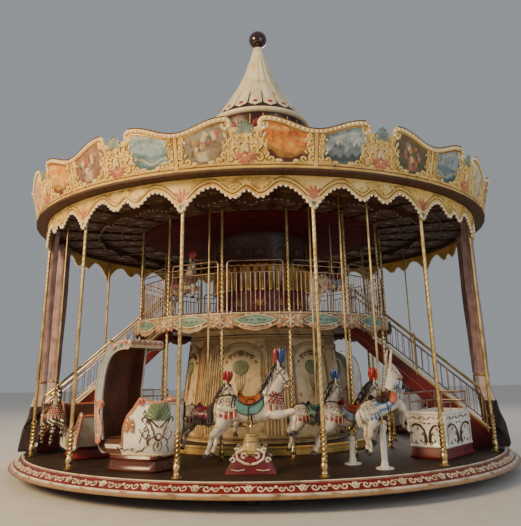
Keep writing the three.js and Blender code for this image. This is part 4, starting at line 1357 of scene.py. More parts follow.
def fasciaBoard(form, low, high):
    width = math.radians(bay) * fascia["radius"]
    stops = spread(low, high, max(6, int(36 * (high - low))))
    for lift in (-0.004, -0.02):
        rows = [[
            (u * width, fasciaEdge(u) + (fascia["top"] - fasciaEdge(u)) * t, lift) for u in stops
        ] for t in spread(0, 1, 3)]
        form.add(sheetShape(rows), beige)
    for shift, radius, colour in ((0.0, 0.011, "#6B4A34"), (0.018, 0.013, beige), (0.045, 0.005, "#6B4A34")):
        line = [(u * width, fasciaEdge(u) + shift, -0.006) for u in stops]
        form.add(bead(line, radius, 5, 0.8), colour)
    for up, radius, colour in ((2.99, 0.014, "#E6D6B4"), (2.965, 0.006, "#7A553A")):
        line = [(u * width, up, -0.006) for u in stops]
        form.add(bead(line, radius, 5, 0.8), colour)


def fasciaShield(form, u):
    x = u * math.radians(bay) * fascia["radius"]
    points, faces = ballShape((x, 2.85, -0.004), (0.085, 0.115, 0.012), 12, 6)
    form.add((points, faces), "#A98468")
    for turn in (35, 90, 145, 215, 270, 325):
        form.add(leafShape(x, 2.85, 0.135, 0.045, turn, 0.014), "#E4D0B0")
        form.add(leafShape(x, 2.85, 0.10, 0.026, turn + 27, 0.010), "#9C5A46")
    form.add(ballShape((x, 2.85, 0.004), (0.03, 0.045, 0.012), 8, 6), "#E9DCC2")


def fasciaBay():
    form = Form(fasciaPlace)
    fasciaBoard(form, -0.5, 0.5)
    long, tall = 0.40, 0.105
    outline = []
    for t in turns(40):
        c, s = math.cos(t), math.sin(t)
        outline.append(
            (long * math.copysign(abs(c) ** 1.5, c), 2.86 + tall * math.copysign(abs(s) ** 1.25, s))
        )
    rows = [[
        (x * k, 2.86 + (y - 2.86) * k, 0.001 + 0.006 * (1 - k)) for x, y in outline
    ] for k in (1.0, 0.72, 0.4, 0.02)]
    form.add(loftShape(rows, capped=False), "#86A39C")
    form.add(bead(lifted(outline, 0.0), 0.010, 5, 0.7, True), "#E2D2B0")
    inner = [(x * 0.8, 2.86 + (y - 2.86) * 0.74) for x, y in outline]
    form.add(tubeShape(lifted(inner, 0.004), 0.004, 4, True), "#4F6A66")
    for side in (-1, 1):
        for turn in (0, 180):
            form.add(leafShape(side * 0.12, 2.86, 0.11, 0.045, turn, 0.01), "#5E7E78")
        for path in (
            spiral(side * 0.50, 2.90, 0.045, 0.01, 90 + side * 90, 90 - side * 260, 12),
            spiral(side * 0.47, 2.81, 0.04, 0.01, 90 - side * 90, 90 + side * 260, 12),
            spiral(side * 0.28, 2.75, 0.035, 0.009, 90 + side * 60, 90 - side * 280, 12),
        ):
            form.add(bead(lifted(path, 0.002), 0.013), "#EBDCBC")
            # Painted shadow: a dark brown line runs beside each scroll.
            form.add(tubeShape(lifted(alongBelow(path, 0.012), -0.002), 0.007, 4), "#5A3826")
        rim = [(x * 1.08, 2.86 + (y - 2.86) * 1.28) for x, y in outline[::side] if x * side > -0.02]
        form.add(tubeShape(lifted(rim, -0.002), 0.007, 4), "#5A3826")
        form.add(leafShape(side * 0.41, 2.72, 0.12, 0.05, 90 - side * 80, 0.01), "#C77D66")
        for x, y, turn in ((0.20, 2.965, 200), (0.20, 2.755, 160), (0.47, 2.955, 90), (0.56, 2.79, 250)):
            form.add(sideLeaf(side, x, y, 0.085, 0.035, turn, 0.01), "#EBDCBC")
    fasciaShield(form, 0.5)
    return form


def stairEdges():
    form = Form()
    for centre in (3, -3):
        for low, high, shieldAt in ((-0.5, -0.329, -0.44), (0.329, 0.5, 0.44)):
            side = Form(fasciaPlace)
            fasciaBoard(side, low, high)
            fasciaShield(side, shieldAt)
            turn = Matrix.Rotation(math.radians(centre * bay), 3, "Z")
            form.points.extend([tuple(turn @ Vector(p)) for p in side.points])
            base = len(form.points) - len(side.points)
            form.faces.extend([[base + i for i in face] for face in side.faces])
            form.finishes.extend(side.finishes)
            form.tints.extend(side.tints)
    return form


fasciaFront = fasciaBay()
fasciaRing = together("galleryFascia", [
    roundAxis(fasciaFront, 5, bay, -2 * bay), roundAxis(fasciaFront, 7, bay, 4 * bay),
    stairEdges().mesh("stairEdges"),
])
seat("galleryFascia", fasciaRing, stands=("upper_fascia_front", "upper_fascia_back"))
print("fascia ready")


# Upper drum: a belt of gilt columns over a red dado, dark panels above them
upperDrum = {
    "radius": 1.12, "low": galleryTop, "high": 5.079, "dado": 3.66, "belt": 4.24, "columns": 42,
    "panels": 14,
}


def upperDrumForm():
    form = Form()
    r, low, high, dado, belt = (upperDrum[key] for key in ("radius", "low", "high", "dado", "belt"))
    form.add(turnedShape([
        (r - 0.06, low), (r + 0.02, low), (r + 0.02, low + 0.12), (r, low + 0.14), (r, dado),
        (r + 0.025, dado + 0.02), (r, dado + 0.05),
    ], 84), "#8A3322")
    form.add(turnedShape([(r, dado + 0.05), (r - 0.004, belt)], 84), "#7A4A1C")
    form.add(turnedShape([(r - 0.004, belt), (r + 0.02, belt + 0.01), (
        r + 0.032, belt + 0.035,
    ), (r + 0.02, belt + 0.06), (r, belt + 0.065)], 84), "giltMetal")
    form.add(turnedShape([
        (r, belt + 0.065), (r, high - 0.25), (r + 0.02, high - 0.2), (r + 0.025, high - 0.02),
        (r - 0.06, high),
    ], 84), "maroonEnamel")
    for k in range(upperDrum["columns"]):
        a = (k + 0.5) * 360 / upperDrum["columns"]
        path = [polar(r + 0.008, a, z) for z in spread(dado + 0.04, belt, 5)]
        form.add(tubeShape(path, 0.052, 8, flat=0.6), "#F2C24A" if k % 3 else "#DFA83C")
        path = [polar(r + 0.016, a, z) for z in (belt - 0.03, belt + 0.03, belt + 0.10)]
        form.add(tubeShape(path, [0.052, 0.040, 0.008], 7), "giltMetal")
        form.add(ballShape(polar(r + 0.012, a, dado + 0.03), (0.045, 0.045, 0.03), 8, 5), "giltMetal")
    for k in range(upperDrum["panels"]):
        b = k * 360 / upperDrum["panels"]

        def place(x, y, lift, b=b):
            return polar(r + 0.002 + lift, b + math.degrees(x / r), y)

        frameLine = [
            (-0.20, belt + 0.14), (0.20, belt + 0.14), (0.20, high - 0.42), (0.12, high - 0.34),
            (0, high - 0.31), (-0.12, high - 0.34), (-0.20, high - 0.42),
        ]
        form.add(tubeShape(lifted(frameLine, 0.004), 0.010, 5, True), "#8A6230", move=place)
        form.add(movedShell(0, belt + 0.24, 0.2, 0.2, 7, 0.02), "#5C5236", move=place)
        for side in (-1, 1):
            path = spiral(side * 0.09, dado - 0.3, 0.07, 0.014, 90 - side * 90, 90 + side * 300, 12)
            form.add(tubeShape(lifted(path, 0.006), 0.012, 5, flat=0.7), "#E2A85E", move=place)
        for turn in (60, 90, 120):
            form.add(leafShape(0, dado - 0.34, 0.2, 0.06, turn), "#E2A85E", move=place)
    return form


seat("upperDrum", upperDrumForm().mesh("upperDrum"), stands=("upper_drum",))
print("upper drum ready")


# Lower drum: seven arched cream panels with a sage shell balloon, fluted pilasters between them
drum = {
    "profile": [(0.402, 1.898), (0.9, 1.898), (2.56, 1.698), (2.853, 1.698)], "panels": 7, "first": -12.857,
    "balloon": 1.99,
}


def drumPlace(across, up, lift):
    radius = between(drum["profile"], up) + lift
    return polar(radius, math.degrees(across / 1.8), up)


def archLine(half, foot, top, low):
    line = [(-half, low), (-half, (low + foot) / 2)]
    for t in spread(180, 0, 14):
        a = math.radians(t)
        line.append((half * math.cos(a), foot + (top - foot) * math.sin(a) ** 0.8))
    return line + [(half, (low + foot) / 2), (half, low)]


darkLine = "#5A3A22"
tan = "#C2A272"


def drumPanel():
    form = Form(drumPlace)
    step = 360 / drum["panels"] / 2
    wide = math.radians(step) * 1.8
    rows = [[
        (s, z, -0.012) for s in spread(-wide, wide, 20)
    ] for z in [deckTop, 0.6, 0.9, 1.3, 1.8, 2.2, 2.56, 2.7, 2.853]]
    form.add(sheetShape(rows), "#E6CFA0")
    form.add(bead(lifted(archLine(0.5, 2.12, 2.5, 0.72), 0.0), 0.020, 6, 0.6), tan)
    form.add(tubeShape(lifted(archLine(0.46, 2.10, 2.455, 0.745), -0.004), 0.006, 5), darkLine)
    form.add(tubeShape(lifted(archLine(0.43, 2.07, 2.42, 0.77), -0.006), 0.004, 4), "#9A7A4C")
    for s in (-0.76, -0.7, -0.63, -0.57, 0.57, 0.63, 0.7, 0.76):
        path = [(s, z, -0.004) for z in spread(0.70, 2.45, 7)]
        form.add(bead(path, 0.019, 6, 0.8), "#D9BE8C")
        # Painted shade: a dark line in the groove on the same side of every flute.
        form.add(tubeShape([(s + 0.03, z, -0.010) for z in spread(0.70, 2.45, 7)], 0.005, 4), darkLine)
    for side in (-1, 1):
        for low, high, proud in ((2.45, 2.56, 0.02), (0.645, 0.71, 0.015)):
            rows = [[(side * s, z, lift) for s, lift in (
                (0.54, -0.01), (0.54, proud), (0.79, proud), (0.79, -0.01),
            )] for z in (low, low + 0.02, high - 0.02, high)]
            form.add(sheetShape(rows), tan)
        for k in range(3):
            form.add(leafShape(side * (0.59 + 0.07 * k), 2.44, 0.10, 0.05, 270, 0.016), tan)
    for up, radius, colour in (
        (2.60, 0.024, tan), (2.66, 0.010, darkLine), (2.80, 0.02, tan), (0.645, 0.020, tan),
        (0.612, 0.006, darkLine), (0.59, 0.014, tan),
    ):
        path = [(s, up, -0.006) for s in spread(-wide, wide, 16)]
        form.add(bead(path, radius, 6), colour)
    for k in range(-4, 5):
        gore = []
        for t in spread(-1, 1, 8):
            swell = math.sqrt(max(1 - t * t, 0.0)) * (1 + 0.35 * min(t, 0))
            gore.append((
                0.155 * math.sin(math.radians(k * 20)) * swell, drum["balloon"] + 0.005 + 0.145 * t,
                -0.004 + 0.012 * math.cos(math.radians(k * 20)),
            ))
        form.add(bead(
            gore, [0.006 + 0.024 * math.sqrt(max(1 - t * t, 0.0)) for t in spread(-1, 1, 8)], 6,
        ), sage if k % 2 else "#76865F")
    for k in range(-2, 3):
        path = [(
            0.10 * k / 2, drum["balloon"] - 0.13, -0.002,
        ), (0.05 * k, 1.72, -0.004), (0.035 * k / 2, 1.52, -0.002)]
        form.add(tubeShape(path, 0.0045, 4), darkLine)
    form.add(ballShape((0, 1.475, -0.004), (0.06, 0.05, 0.02), 10, 6), "#A9773E")
    form.add(leafShape(0, 1.43, 0.1, 0.05, 270), coral)
    for side in (-1, 1):
        for path, radius in (
            (spiral(side * 0.13, 2.245, 0.06, 0.012, 90 + side * 90, 90 - side * 270), 0.011),
            (spiral(side * 0.25, 2.20, 0.05, 0.010, 90 - side * 60, 90 + side * 290), 0.010),
            (spiral(side * 0.33, 2.10, 0.035, 0.008, 90 + side * 60, 90 - side * 290), 0.008),
            ([(side * 0.03, 2.22), (side * 0.09, 2.29), (side * 0.2, 2.27), (side * 0.3, 2.2)], 0.009),
            (spiral(side * 0.22, 1.02, 0.11, 0.014, 90 - side * 90, 90 + side * 280), 0.012),
            (spiral(side * 0.33, 1.24, 0.07, 0.012, 90 + side * 100, 90 - side * 270), 0.010),
            ([(side * 0.05, 0.88), (side * 0.2, 0.87), (side * 0.34, 0.95), (side * 0.4, 1.12)], 0.010),
        ):
            form.add(bead(lifted(path, -0.004), radius), "#7A5230")
        for x, y, turn, colour in (
            (0.06, 2.26, 60, tan), (0.14, 0.93, 30, sage), (0.3, 1.1, 120, sage), (0.36, 1.4, 100, coral),
            (0.56, 2.3, 90, tan),
        ):
            form.add(sideLeaf(side, x, y, 0.11, 0.045, turn), colour)
        path = spiral(side * 0.46, 2.40, 0.04, 0.01, 90 - side * 90, 90 + side * 260, 12)
        form.add(tubeShape(lifted(path, -0.002), 0.010, 5), "#8A6238")
    for turn in (65, 90, 115):
        form.add(leafShape(0, 2.23, 0.13, 0.045, turn), "#8A5A34")
        form.add(leafShape(0, 0.86, 0.18, 0.06, turn), "#8A5A34")
    return form


seat(
    "lowerDrum", roundAxis(drumPanel(), drum["panels"], 360 / drum["panels"], drum["first"]),
    stands=("lower_drum",),
)
print("lower drum ready")


# Ring step round the drum, and the red scrolled skirt with its white bead and tan lower band
skirt = {"topRadius": 5.104, "top": 0.398, "lowRadius": 5.366, "low": 0.202, "repeats": 42}


def stepForm():
    form = Form()
    form.add(turnedShape([(1.93, deckTop), (1.93, 0.552), (2.47, 0.552), (2.47, deckTop)], 84), "deckBoards")
    form.add(turnedShape(
        [(2.44, 0.404), (2.485, 0.404), (2.485, 0.52), (2.498, 0.535), (2.492, 0.558), (2.44, 0.558)], 84,
    ), "creamEnamel")
    for up, radius, colour in (
        (0.425, 0.012, tan), (0.452, 0.005, darkLine), (0.492, 0.010, tan), (0.512, 0.005, darkLine),
    ):
        ring = [polar(2.484, k * 5, up) for k in range(72)]
        form.add(tubeShape(ring, radius, 5, True, 0.8), colour)
    return form


def skirtPlace(across, down, lift):
    run = math.hypot(skirt["lowRadius"] - skirt["topRadius"], skirt["top"] - skirt["low"])
    dr, dz = (skirt["lowRadius"] - skirt["topRadius"]) / run, (skirt["low"] - skirt["top"]) / run
    radius = skirt["topRadius"] + dr * down - dz * lift
    return polar(radius, math.degrees(across / 5.2), skirt["top"] + dz * down + dr * lift)


def skirtBay():
    form = Form(skirtPlace)
    half = math.radians(180 / skirt["repeats"]) * 5.2
    for low, high, look in ((0.0, 0.218, "redEnamel"), (0.218, 0.326, "#A98A66")):
        rows = [[(s, d, -0.006) for s in spread(-half, half, 5)] for d in (low, (low + high) / 2, high)]
        form.add(sheetShape(rows), look)
    for down, radius, colour in ((
        0.012, 0.014, "#EADFC6",
    ), (0.222, 0.008, "#E2D3B2"), (0.318, 0.009, "#8A6A48"), (0.038, 0.003, "#E2D3B2")):
        path = [(s, down, -0.006) for s in spread(-half, half, 5)]
        form.add(bead(path, radius), colour)
    pale = "#E6D9BC"
    for side in (-1, 1):
        for path in (
            spiral(side * 0.17, 0.125, 0.062, 0.014, 90 - side * 100, 90 + side * 300, 14),
            spiral(side * 0.31, 0.135, 0.045, 0.012, 90 + side * 80, 90 - side * 290, 14),
            [(side * 0.02, 0.18), (side * 0.07, 0.10), (side * 0.12, 0.085)],
        ):
            form.add(bead(lifted(path, -0.003), [0.0125] * (len(path) - 1) + [0.005], 5, 0.6), pale)
        for x, y, turn in ((0.05, 0.13, 240), (0.24, 0.10, 60), (0.36, 0.14, 300)):
            form.add(sideLeaf(side, x, y, 0.075, 0.034, turn, 0.008), pale)
    form.add(leafShape(0, 0.07, 0.12, 0.05, 90, 0.008), pale)
    return form


seat("drumStep", stepForm().mesh("drumStep"), stands=("drum_plinth",))
seat(
    "floorSkirt", roundAxis(skirtBay(), skirt["repeats"], 360 / skirt["repeats"]),
    stands=("platform_skirt",),
)
print("skirt ready")


# Stairs: red stringers with a white capping, boarded treads with nosings, two rails and upright bars
stairs = {"foot": 4.86, "going": 0.246, "rise": (2.965 - 0.4) / 12, "count": 12, "half": 0.39}


def stairForm():
    form = Form()
    foot, going, rise = stairs["foot"], stairs["going"], stairs["rise"]
    topY = -foot + going * (stairs["count"] - 1)
    slope = rise / going

    def line(y):
        return 0.4 + 0.32 + (y + foot) * slope

    for i in range(stairs["count"] - 1):
        y, z = -foot + i * going, 0.4 + (i + 1) * rise
        half = stairs["half"] - 0.004
        form.add(boxShape((-half, y + 0.012, z - 0.034), (half, y + going + 0.02, z - 0.003)), "deckBoards")
        form.add(tubeShape(
            [(-half, y + 0.012, z - 0.016), (half, y + 0.012, z - 0.016)], 0.017, 6,
        ), "warmLitSteel")
        form.add(boxShape(
            (-half, y + going - 0.004, z), (half, y + going + 0.01, z + rise - 0.034),
        ), "redEnamel")
    outline = [(-foot, 0.402), (-foot + 0.33, 0.402), (topY, 2.635), (topY, 2.955), (-foot + 0.02, 0.72)]
    for side in (-1, 1):
        rows = []
        for x in (0.385, 0.413):
            rows.append([(side * x, y, z) for y, z in outline])
        form.add(loftShape(rows), "redEnamel")
        cap = [(side * 0.40, y, line(y) + 0.004) for y in spread(-foot + 0.02, topY, 6)]
        form.add(tubeShape(cap, 0.018, 6), "ivoryEnamel")
        low = [(side * 0.416, y, line(y) - 0.05) for y in spread(-foot + 0.04, topY, 6)]
        form.add(tubeShape(low, 0.006, 5), cream)
        for up, radius in ((0.70, 0.020), (0.56, 0.013), (0.10, 0.012)):
            rail = [(side * 0.40, y, line(y) + up) for y in spread(-foot + 0.06, topY - 0.06, 6)]
            form.add(tubeShape(rail, radius, 7), "reededBrass" if up > 0.6 else "warmLitSteel")
        for y in spread(-foot + 0.10, topY - 0.10, 20):
            form.add(tubeShape(
                [(side * 0.40, y, line(y) + 0.10), (side * 0.40, y, line(y) + 0.56)], 0.008, 5,
            ), "warmLitSteel")
        for y in (-foot + 0.06, (topY - foot) / 2, topY - 0.06):
            form.add(tubeShape(
                [(side * 0.40, y, line(y) - 0.1), (side * 0.40, y, line(y) + 0.70)], 0.018, 7,
            ), "reededBrass")
            form.add(ballShape((side * 0.40, y, line(y) + 0.73), (0.032, 0.032, 0.036), 10, 6), "reededBrass")
        deep = [(side * 0.416, y, line(y) - 0.29) for y in spread(-foot + 0.36, topY, 6)]
        form.add(tubeShape(deep, 0.005, 5), "#D98A5A")
    return form


stairMesh = stairForm().mesh("stair")
for name, side in (("stairLeft", -1), ("stairRight", 1)):
    turned = stairMesh.copy()
    turned.transform(Matrix.Rotation(math.radians(side * 3 * bay), 4, "Z"))
    seat(name, turned, stands=("stair_left" if side < 0 else "stair_right",))
print("stairs ready")


def smoothLine(points, steps=5, ring=False):
    count = len(points)
    line = []
    for i in range(count if ring else count - 1):
        around = [
            points[(i + k) % count] if ring else points[min(max(i + k, 0), count - 1)]
            for k in (-1, 0, 1, 2)
        ]
        for t in spread(0, 1, steps)[:-1]:
            line.append(tuple(0.5 * (
                2 * b + (c - a) * t + (2 * a - 5 * b + 4 * c - d) * t * t + (3 * b - a - 3 * c + d) * t ** 3
            ) for a, b, c, d in zip(*around)))
    return line if ring else line + [tuple(points[-1])]


def berthed(mesh, angle, radius):
    placed = mesh.copy()
    place = Matrix.Translation(polar(radius, angle, 0)) @ Matrix.Rotation(math.radians(angle), 4, "Z")
    placed.transform(place)
    return placed


def onSide(y):
    return lambda x, up, lift: (x, y + lift if y > 0 else y - lift, up)


def sideScrolls(form, paths, y, radius, look, lift):
    for path in paths:
        radii = [radius * (1 - 0.5 * t) for t in spread(0, 1, len(path) - 1)]
        form.add(bead(lifted(path, lift), radii), look, onSide(y))


def seatPair(mesh, setup, names, nodes):
    for name, standsFor, turn in zip(names, nodes, (0, 180)):
        placed = berthed(mesh, setup["angle"] + turn, setup["radius"])
        seat(name, placed, stands=(standsFor,))


# Hooded carriage: a hood with a brown lining over a bench, and a rounded bow with a shell crest
hooded = {
    "angle": -bay, "radius": 4.25, "half": 0.42, "rim": 0.14,
    "lip": (-0.07, 2.41), "crest": -0.47, "panel": 0.95,
    "back": [
        (-0.52, 0.66), (-0.62, 0.72), (-0.70, 0.92), (-0.75, 1.25), (-0.762, 1.62), (-0.715, 2.0),
        (-0.60, 2.27), (-0.42, 2.41), (-0.22, 2.46), (-0.07, 2.46),
    ],
    "front": [
        (-0.36, 2.40), (-0.385, 2.2), (-0.41, 1.9), (-0.44, 1.6), (-0.38, 1.34), (-0.24, 1.18),
        (-0.10, 1.10), (-0.10, 0.68),
    ],
    "tub": [(0.62, 0.74), (0.70, 0.86), (0.85, 0.95), (1.05, 0.99), (1.52, 1.0)],
    "top": [(-0.17, 0.80), (-0.10, 1.17), (0.0, 1.30), (0.22, 1.50), (0.5, 1.44), (0.7, 1.47)],
}


def tubPoint(s, z, out=0.0):
    a = math.radians(90 * max(-1, min(1, s)))
    x = -0.12 + 0.82 * math.cos(a) ** 0.75 - 0.46 * max(abs(s) - 1, 0)
    y = hooded["half"] * math.copysign(abs(math.sin(a)) ** 0.8, s)
    size = between(hooded["tub"], z)
    return x * size + out * math.cos(a), y * size + out * math.sin(a), z


def tubTop(s):
    return easeBetween(hooded["top"], tubPoint(s, 1.52)[0])


def onCrest(side):
    def place(across, up, lift):
        s = side * -hooded["crest"] + across / hooded["panel"]
        return tubPoint(s, min(up, tubTop(s) - 0.01), lift + 0.004)
    return place


def hoodedHood(form):
    half = hooded["half"]
    back = smoothLine(hooded["back"], 5)
    lining = alongBelow(back, -0.045)
    stops = spread(-half, half, 24)
    form.add(sheetShape([[(x, y, z) for y in stops] for x, z in back]), "fittedGlossWhite")
    rows = [[(x + 0.004 * math.sin(y * 80), y * 0.98, z) for y in spread(-half, half, 72)] for x, z in lining]
    form.add(sheetShape(rows), "liningPaint")
    inner = alongBelow(back, -hooded["rim"])
    for side in (-1, 1):
        rows = []
        for (ax, az), (bx, bz) in zip(back[8:], inner[8:]):
            row = []
            for t, out in (
                (0.0, -0.03), (0.0, 0.012), (0.15, 0.024), (0.5, 0.028), (0.85, 0.022), (1.0, 0.008),
                (1.0, -0.02),
            ):
                row.append((ax + (bx - ax) * t, side * (half + out - 0.02), az + (bz - az) * t))
            rows.append(row)
        form.add(sheetShape(rows), "greyBlueEnamel")
        bead = [(x, side * (half + 0.004), z) for x, z in inner[8:]]
        form.add(tubeShape(bead, 0.012, 6), "#D8CDB4")
        edge = [(x, side * (half + 0.002), z) for x, z in back[8:]]
        form.add(tubeShape(edge, 0.013, 6), "#C9C4B8")
    outline = back + smoothLine(hooded["front"], 4) + [(-0.45, 0.64)]
    for y, finishName in ((half - 0.055, "liningPaint"), (half - 0.03, "fittedGlossWhite")):
        form.add(plateShape(outline, 0.02), finishName, move=lambda a, b, c, y=y: (a, y + c, b))
    edge = [(x, half - 0.03, z) for x, z in smoothLine(hooded["front"][:-1], 4)]
    form.add(tubeShape(edge, 0.024, 6), "#C9C4B8")
    lipX, lipZ = hooded["lip"]
    profile = [
        (-0.05, 0.052), (0.0, 0.066), (0.045, 0.045), (0.06, 0.0), (0.045, -0.05), (0.0, -0.075),
        (-0.03, -0.055), (-0.02, -0.02),
    ]
    ends = [(-half - 0.035, 0.5), (-half - 0.03, 1.0), (half + 0.03, 1.0), (half + 0.035, 0.5)]
    form.add(loftShape([[(lipX + x * k, y, lipZ + z * k) for x, z in profile] for y, k in ends]), "#EADFC6")
    for y in (-half - 0.036, half + 0.036):
        curl = [(x, y, z) for x, z in spiral(lipX, lipZ, 0.058, 0.012, 90, 560, 18)]
        form.add(tubeShape(curl, 0.012, 5), "#C07A66")
    for k in range(6):
        y = -0.37 + 0.148 * k
        for turn in (20, 160, 90):
            form.add(leafShape(
                y, -0.02, 0.085, 0.045, turn,
            ), "#C88A74", move=lambda a, b, c: (lipX + 0.056 + c * 0.8, a, lipZ + b))
    pink, dark = "#D49A86", "#8A6A58"
    for x, z, long, turn in ((-0.20, 2.44, 0.14, 190), (-0.34, 2.40, 0.14, 205), (-0.12, 2.44, 0.09, 150)):
        form.add(leafShape(x, z, long, 0.06, turn), pink, move=onSide(-half - 0.012))
        form.add(leafShape(x, z - 0.03, long * 0.8, 0.03, turn + 18), dark, move=onSide(-half - 0.012))
    arm = smoothLine([
        (-0.60, 1.40), (-0.66, 1.42), (-0.70, 1.34), (-0.67, 1.20), (-0.60, 1.06), (-0.615, 0.93),
        (-0.66, 0.84),
    ], 5)
    for side in (-1, 1):
        y = side * (half - 0.005)
        sideScrolls(form, [arm], y, 0.080, "#D59C86", 0.012)
        sideScrolls(form, [spiral(-0.635, 1.40, 0.075, 0.018, 200, -190, 16)], y, 0.030, "#C9745E", 0.035)
        sideScrolls(form, [alongBelow(arm, 0.035)], y, 0.014, "#EFE3CF", 0.040)
        sideScrolls(form, [spiral(-0.62, 0.86, 0.06, 0.014, 150, 500, 14)], y, 0.026, "#C9745E", 0.03)
        for x, z, turn in ((-0.655, 1.26, 285), (-0.62, 1.10, 260), (-0.62, 0.98, 250)):
            form.add(leafShape(x, z, 0.11, 0.06, turn, 0.02), "#E3B9A4", move=onSide(y + side * 0.03))


def hoodedTub(form):
    half = hooded["half"]
    stops = spread(-2, 2, 88)
    rows = []
    for out, heights in ((0.0, spread(0, 1, 9)), (-0.045, spread(1, 0.12, 5))):
        for t in heights:
            rows.append([tubPoint(s, 0.62 + (tubTop(s) - 0.62) * t, out) for s in stops])
    form.add(loftShape(rows), "fittedGlossWhite")
    line = [tubPoint(s, tubTop(s), -0.02) for s in spread(-1.22, 1.22, 70)]
    form.add(tubeShape(line, 0.030, 7), "#CE8E78")
    form.add(tubeShape(
        [tubPoint(s, tubTop(s) - 0.045, 0.003) for s in spread(-1.2, 1.2, 60)], 0.009, 5,
    ), "#B79A72")
    form.add(tubeShape([tubPoint(s, 0.655, 0.0) for s in spread(-1.95, 1.95, 60)], 0.020, 6), "#DCCBA6")
    for side in (-1, 1):
        y = side * half
        sideScrolls(form, [spiral(0.225, 1.455, 0.060, 0.014, 120, -280, 16)], y, 0.026, "#C4705A", 0.004)
        form.add(movedShell(0.02, 1.01, 0.20, 0.22, 7, 0.03, 0, 130), "#C48A50", move=onSide(y))

        def alongTub(x, up, lift, side=side):
            return tubPoint(side * (1 - (x + 0.12) / 0.95), up, lift + 0.003)

        squiggles = [
            spiral(0.15, 1.28, 0.045, 0.009, 90, 420, 12), spiral(0.21, 1.16, 0.038, 0.008, 270, -80, 12),
            spiral(0.16, 1.04, 0.040, 0.009, 90, 420, 12), spiral(0.22, 0.94, 0.035, 0.008, 270, -60, 12),
            [(0.12, 1.34), (0.18, 1.24), (0.15, 1.12), (0.21, 1.02), (0.17, 0.90), (0.22, 0.82)],
            [
                (-0.50, 0.76), (-0.40, 0.71), (-0.30, 0.75), (-0.20, 0.71), (-0.10, 0.74), (0.0, 0.70),
                (0.10, 0.73),
            ],
            spiral(-0.44, 0.735, 0.025, 0.006, 0, 300, 8), spiral(-0.24, 0.735, 0.025, 0.006, 0, 300, 8),
            spiral(-0.04, 0.735, 0.025, 0.006, 0, 300, 8), [(0.06, 0.84), (0.10, 0.95), (0.06, 1.05)],
        ]
        for path in squiggles:
            form.add(tubeShape([alongTub(x, z, 0.0) for x, z in path], 0.009, 5), "#5E564C")
        crest = onCrest(side)
        rows = []
        for k in range(9):
            t = k / 8
            row = []
            for i in range(45):
                w = i / 44
                a = math.radians(-118 + 236 * w)
                ripple = abs(math.cos(math.pi * 11 * w))
                reach = t * (1 - 0.05 * ripple * t)
                x = 0.225 * reach * math.sin(a) * (1 - 0.12 * math.cos(a))
                up = 1.175 + (0.26 if math.cos(a) > 0 else 0.13) * reach * math.cos(a) + 0.09 * t
                row.append((x, up, 0.028 * math.sin(math.pi * min(t, 0.85)) + 0.012 * t * (1 - ripple)))
            rows.append(row)
        form.add(sheetShape(rows), "#7E9472", move=crest)
        for i in range(0, 12):
            a = math.radians(-112 + 224 * i / 11)
            ray = []
            for t in (0.12, 0.4, 0.7, 0.97):
                x = 0.225 * t * math.sin(a) * (1 - 0.12 * math.cos(a))
                up = 1.175 + (0.26 if math.cos(a) > 0 else 0.13) * t * math.cos(a) + 0.09 * t
                ray.append((x, up, 0.028 * math.sin(math.pi * min(t, 0.85)) + 0.006))
            form.add(tubeShape(ray, 0.005, 4), "#4F6248", move=crest)
        for sign in (-1, 1):
            for path, radius, colour in (
                ([
                    (sign * 0.02, 1.075), (sign * 0.09, 1.13), (sign * 0.18, 1.21), (sign * 0.255, 1.235),
                    (sign * 0.295, 1.20), (sign * 0.27, 1.16),
                ], 0.016, darkLine),
                ([
                    (sign * 0.22, 1.215), (sign * 0.15, 1.12), (sign * 0.10, 1.02), (sign * 0.085, 0.94),
                    (sign * 0.045, 0.885), (0.0, 0.875),
                ], 0.014, darkLine),
                ([
                    (0.0, 0.985), (sign * 0.035, 0.975), (sign * 0.05, 0.94), (sign * 0.035, 0.90),
                    (0.0, 0.89),
                ], 0.011, darkLine),
                ([
                    (sign * 0.085, 0.93), (sign * 0.15, 0.905), (sign * 0.20, 0.85), (sign * 0.195, 0.80),
                    (sign * 0.165, 0.80),
                ], 0.011, darkLine),
                ([
                    (sign * 0.17, 0.885), (sign * 0.23, 0.90), (sign * 0.27, 0.95), (sign * 0.275, 1.0),
                    (sign * 0.25, 1.01),
                ], 0.009, darkLine),
                ([
                    (sign * 0.05, 0.86), (sign * 0.09, 0.80), (sign * 0.075, 0.745), (sign * 0.03, 0.72),
                ], 0.010, darkLine),
                ([(sign * 0.21, 0.78), (sign * 0.25, 0.76), (sign * 0.28, 0.71)], 0.009, darkLine),
            ):
                form.add(tubeShape(lifted(path, 0.002), radius, 6, flat=0.7), colour, move=crest)
            form.add(leafShape(sign * 0.10, 1.02, 0.10, 0.035, 90 - sign * 30), "#7A5A40", move=crest)
        form.add(leafShape(0, 0.865, 0.12, 0.045, 270), "#7A5A40", move=crest)


def hoodedForm():
    form = Form(paint="tintedGloss")
    hoodedHood(form)
    hoodedTub(form)
    foot = [(-0.46, -0.36), (0.40, -0.36), (0.50, -0.2), (0.52, 0), (0.50, 0.2), (0.40, 0.36), (-0.46, 0.36)]
    steps = ((deckTop, 1.0), (0.43, 1.03), (0.46, 0.97), (0.56, 0.93), (0.60, 0.98), (0.64, 0.94))
    form.add(
        loftShape([[(x * k, y * k, z) for x, y in smoothLine(foot, 4, True)] for z, k in steps]), "#5E2C22",
    )
    form.add(boxShape((-0.60, -0.37, 0.66), (-0.20, 0.36, 0.88)), "liningPaint")
    seatTop = [[(
        x, y, 0.885 + 0.03 * math.sin(math.pi * (x + 0.62) / 0.44) * (1 - (y / 0.4) ** 4),
    ) for y in spread(-0.37, 0.36, 12)] for x in spread(-0.61, -0.18, 8)]
    form.add(sheetShape(seatTop), "liningPaint")
    return form


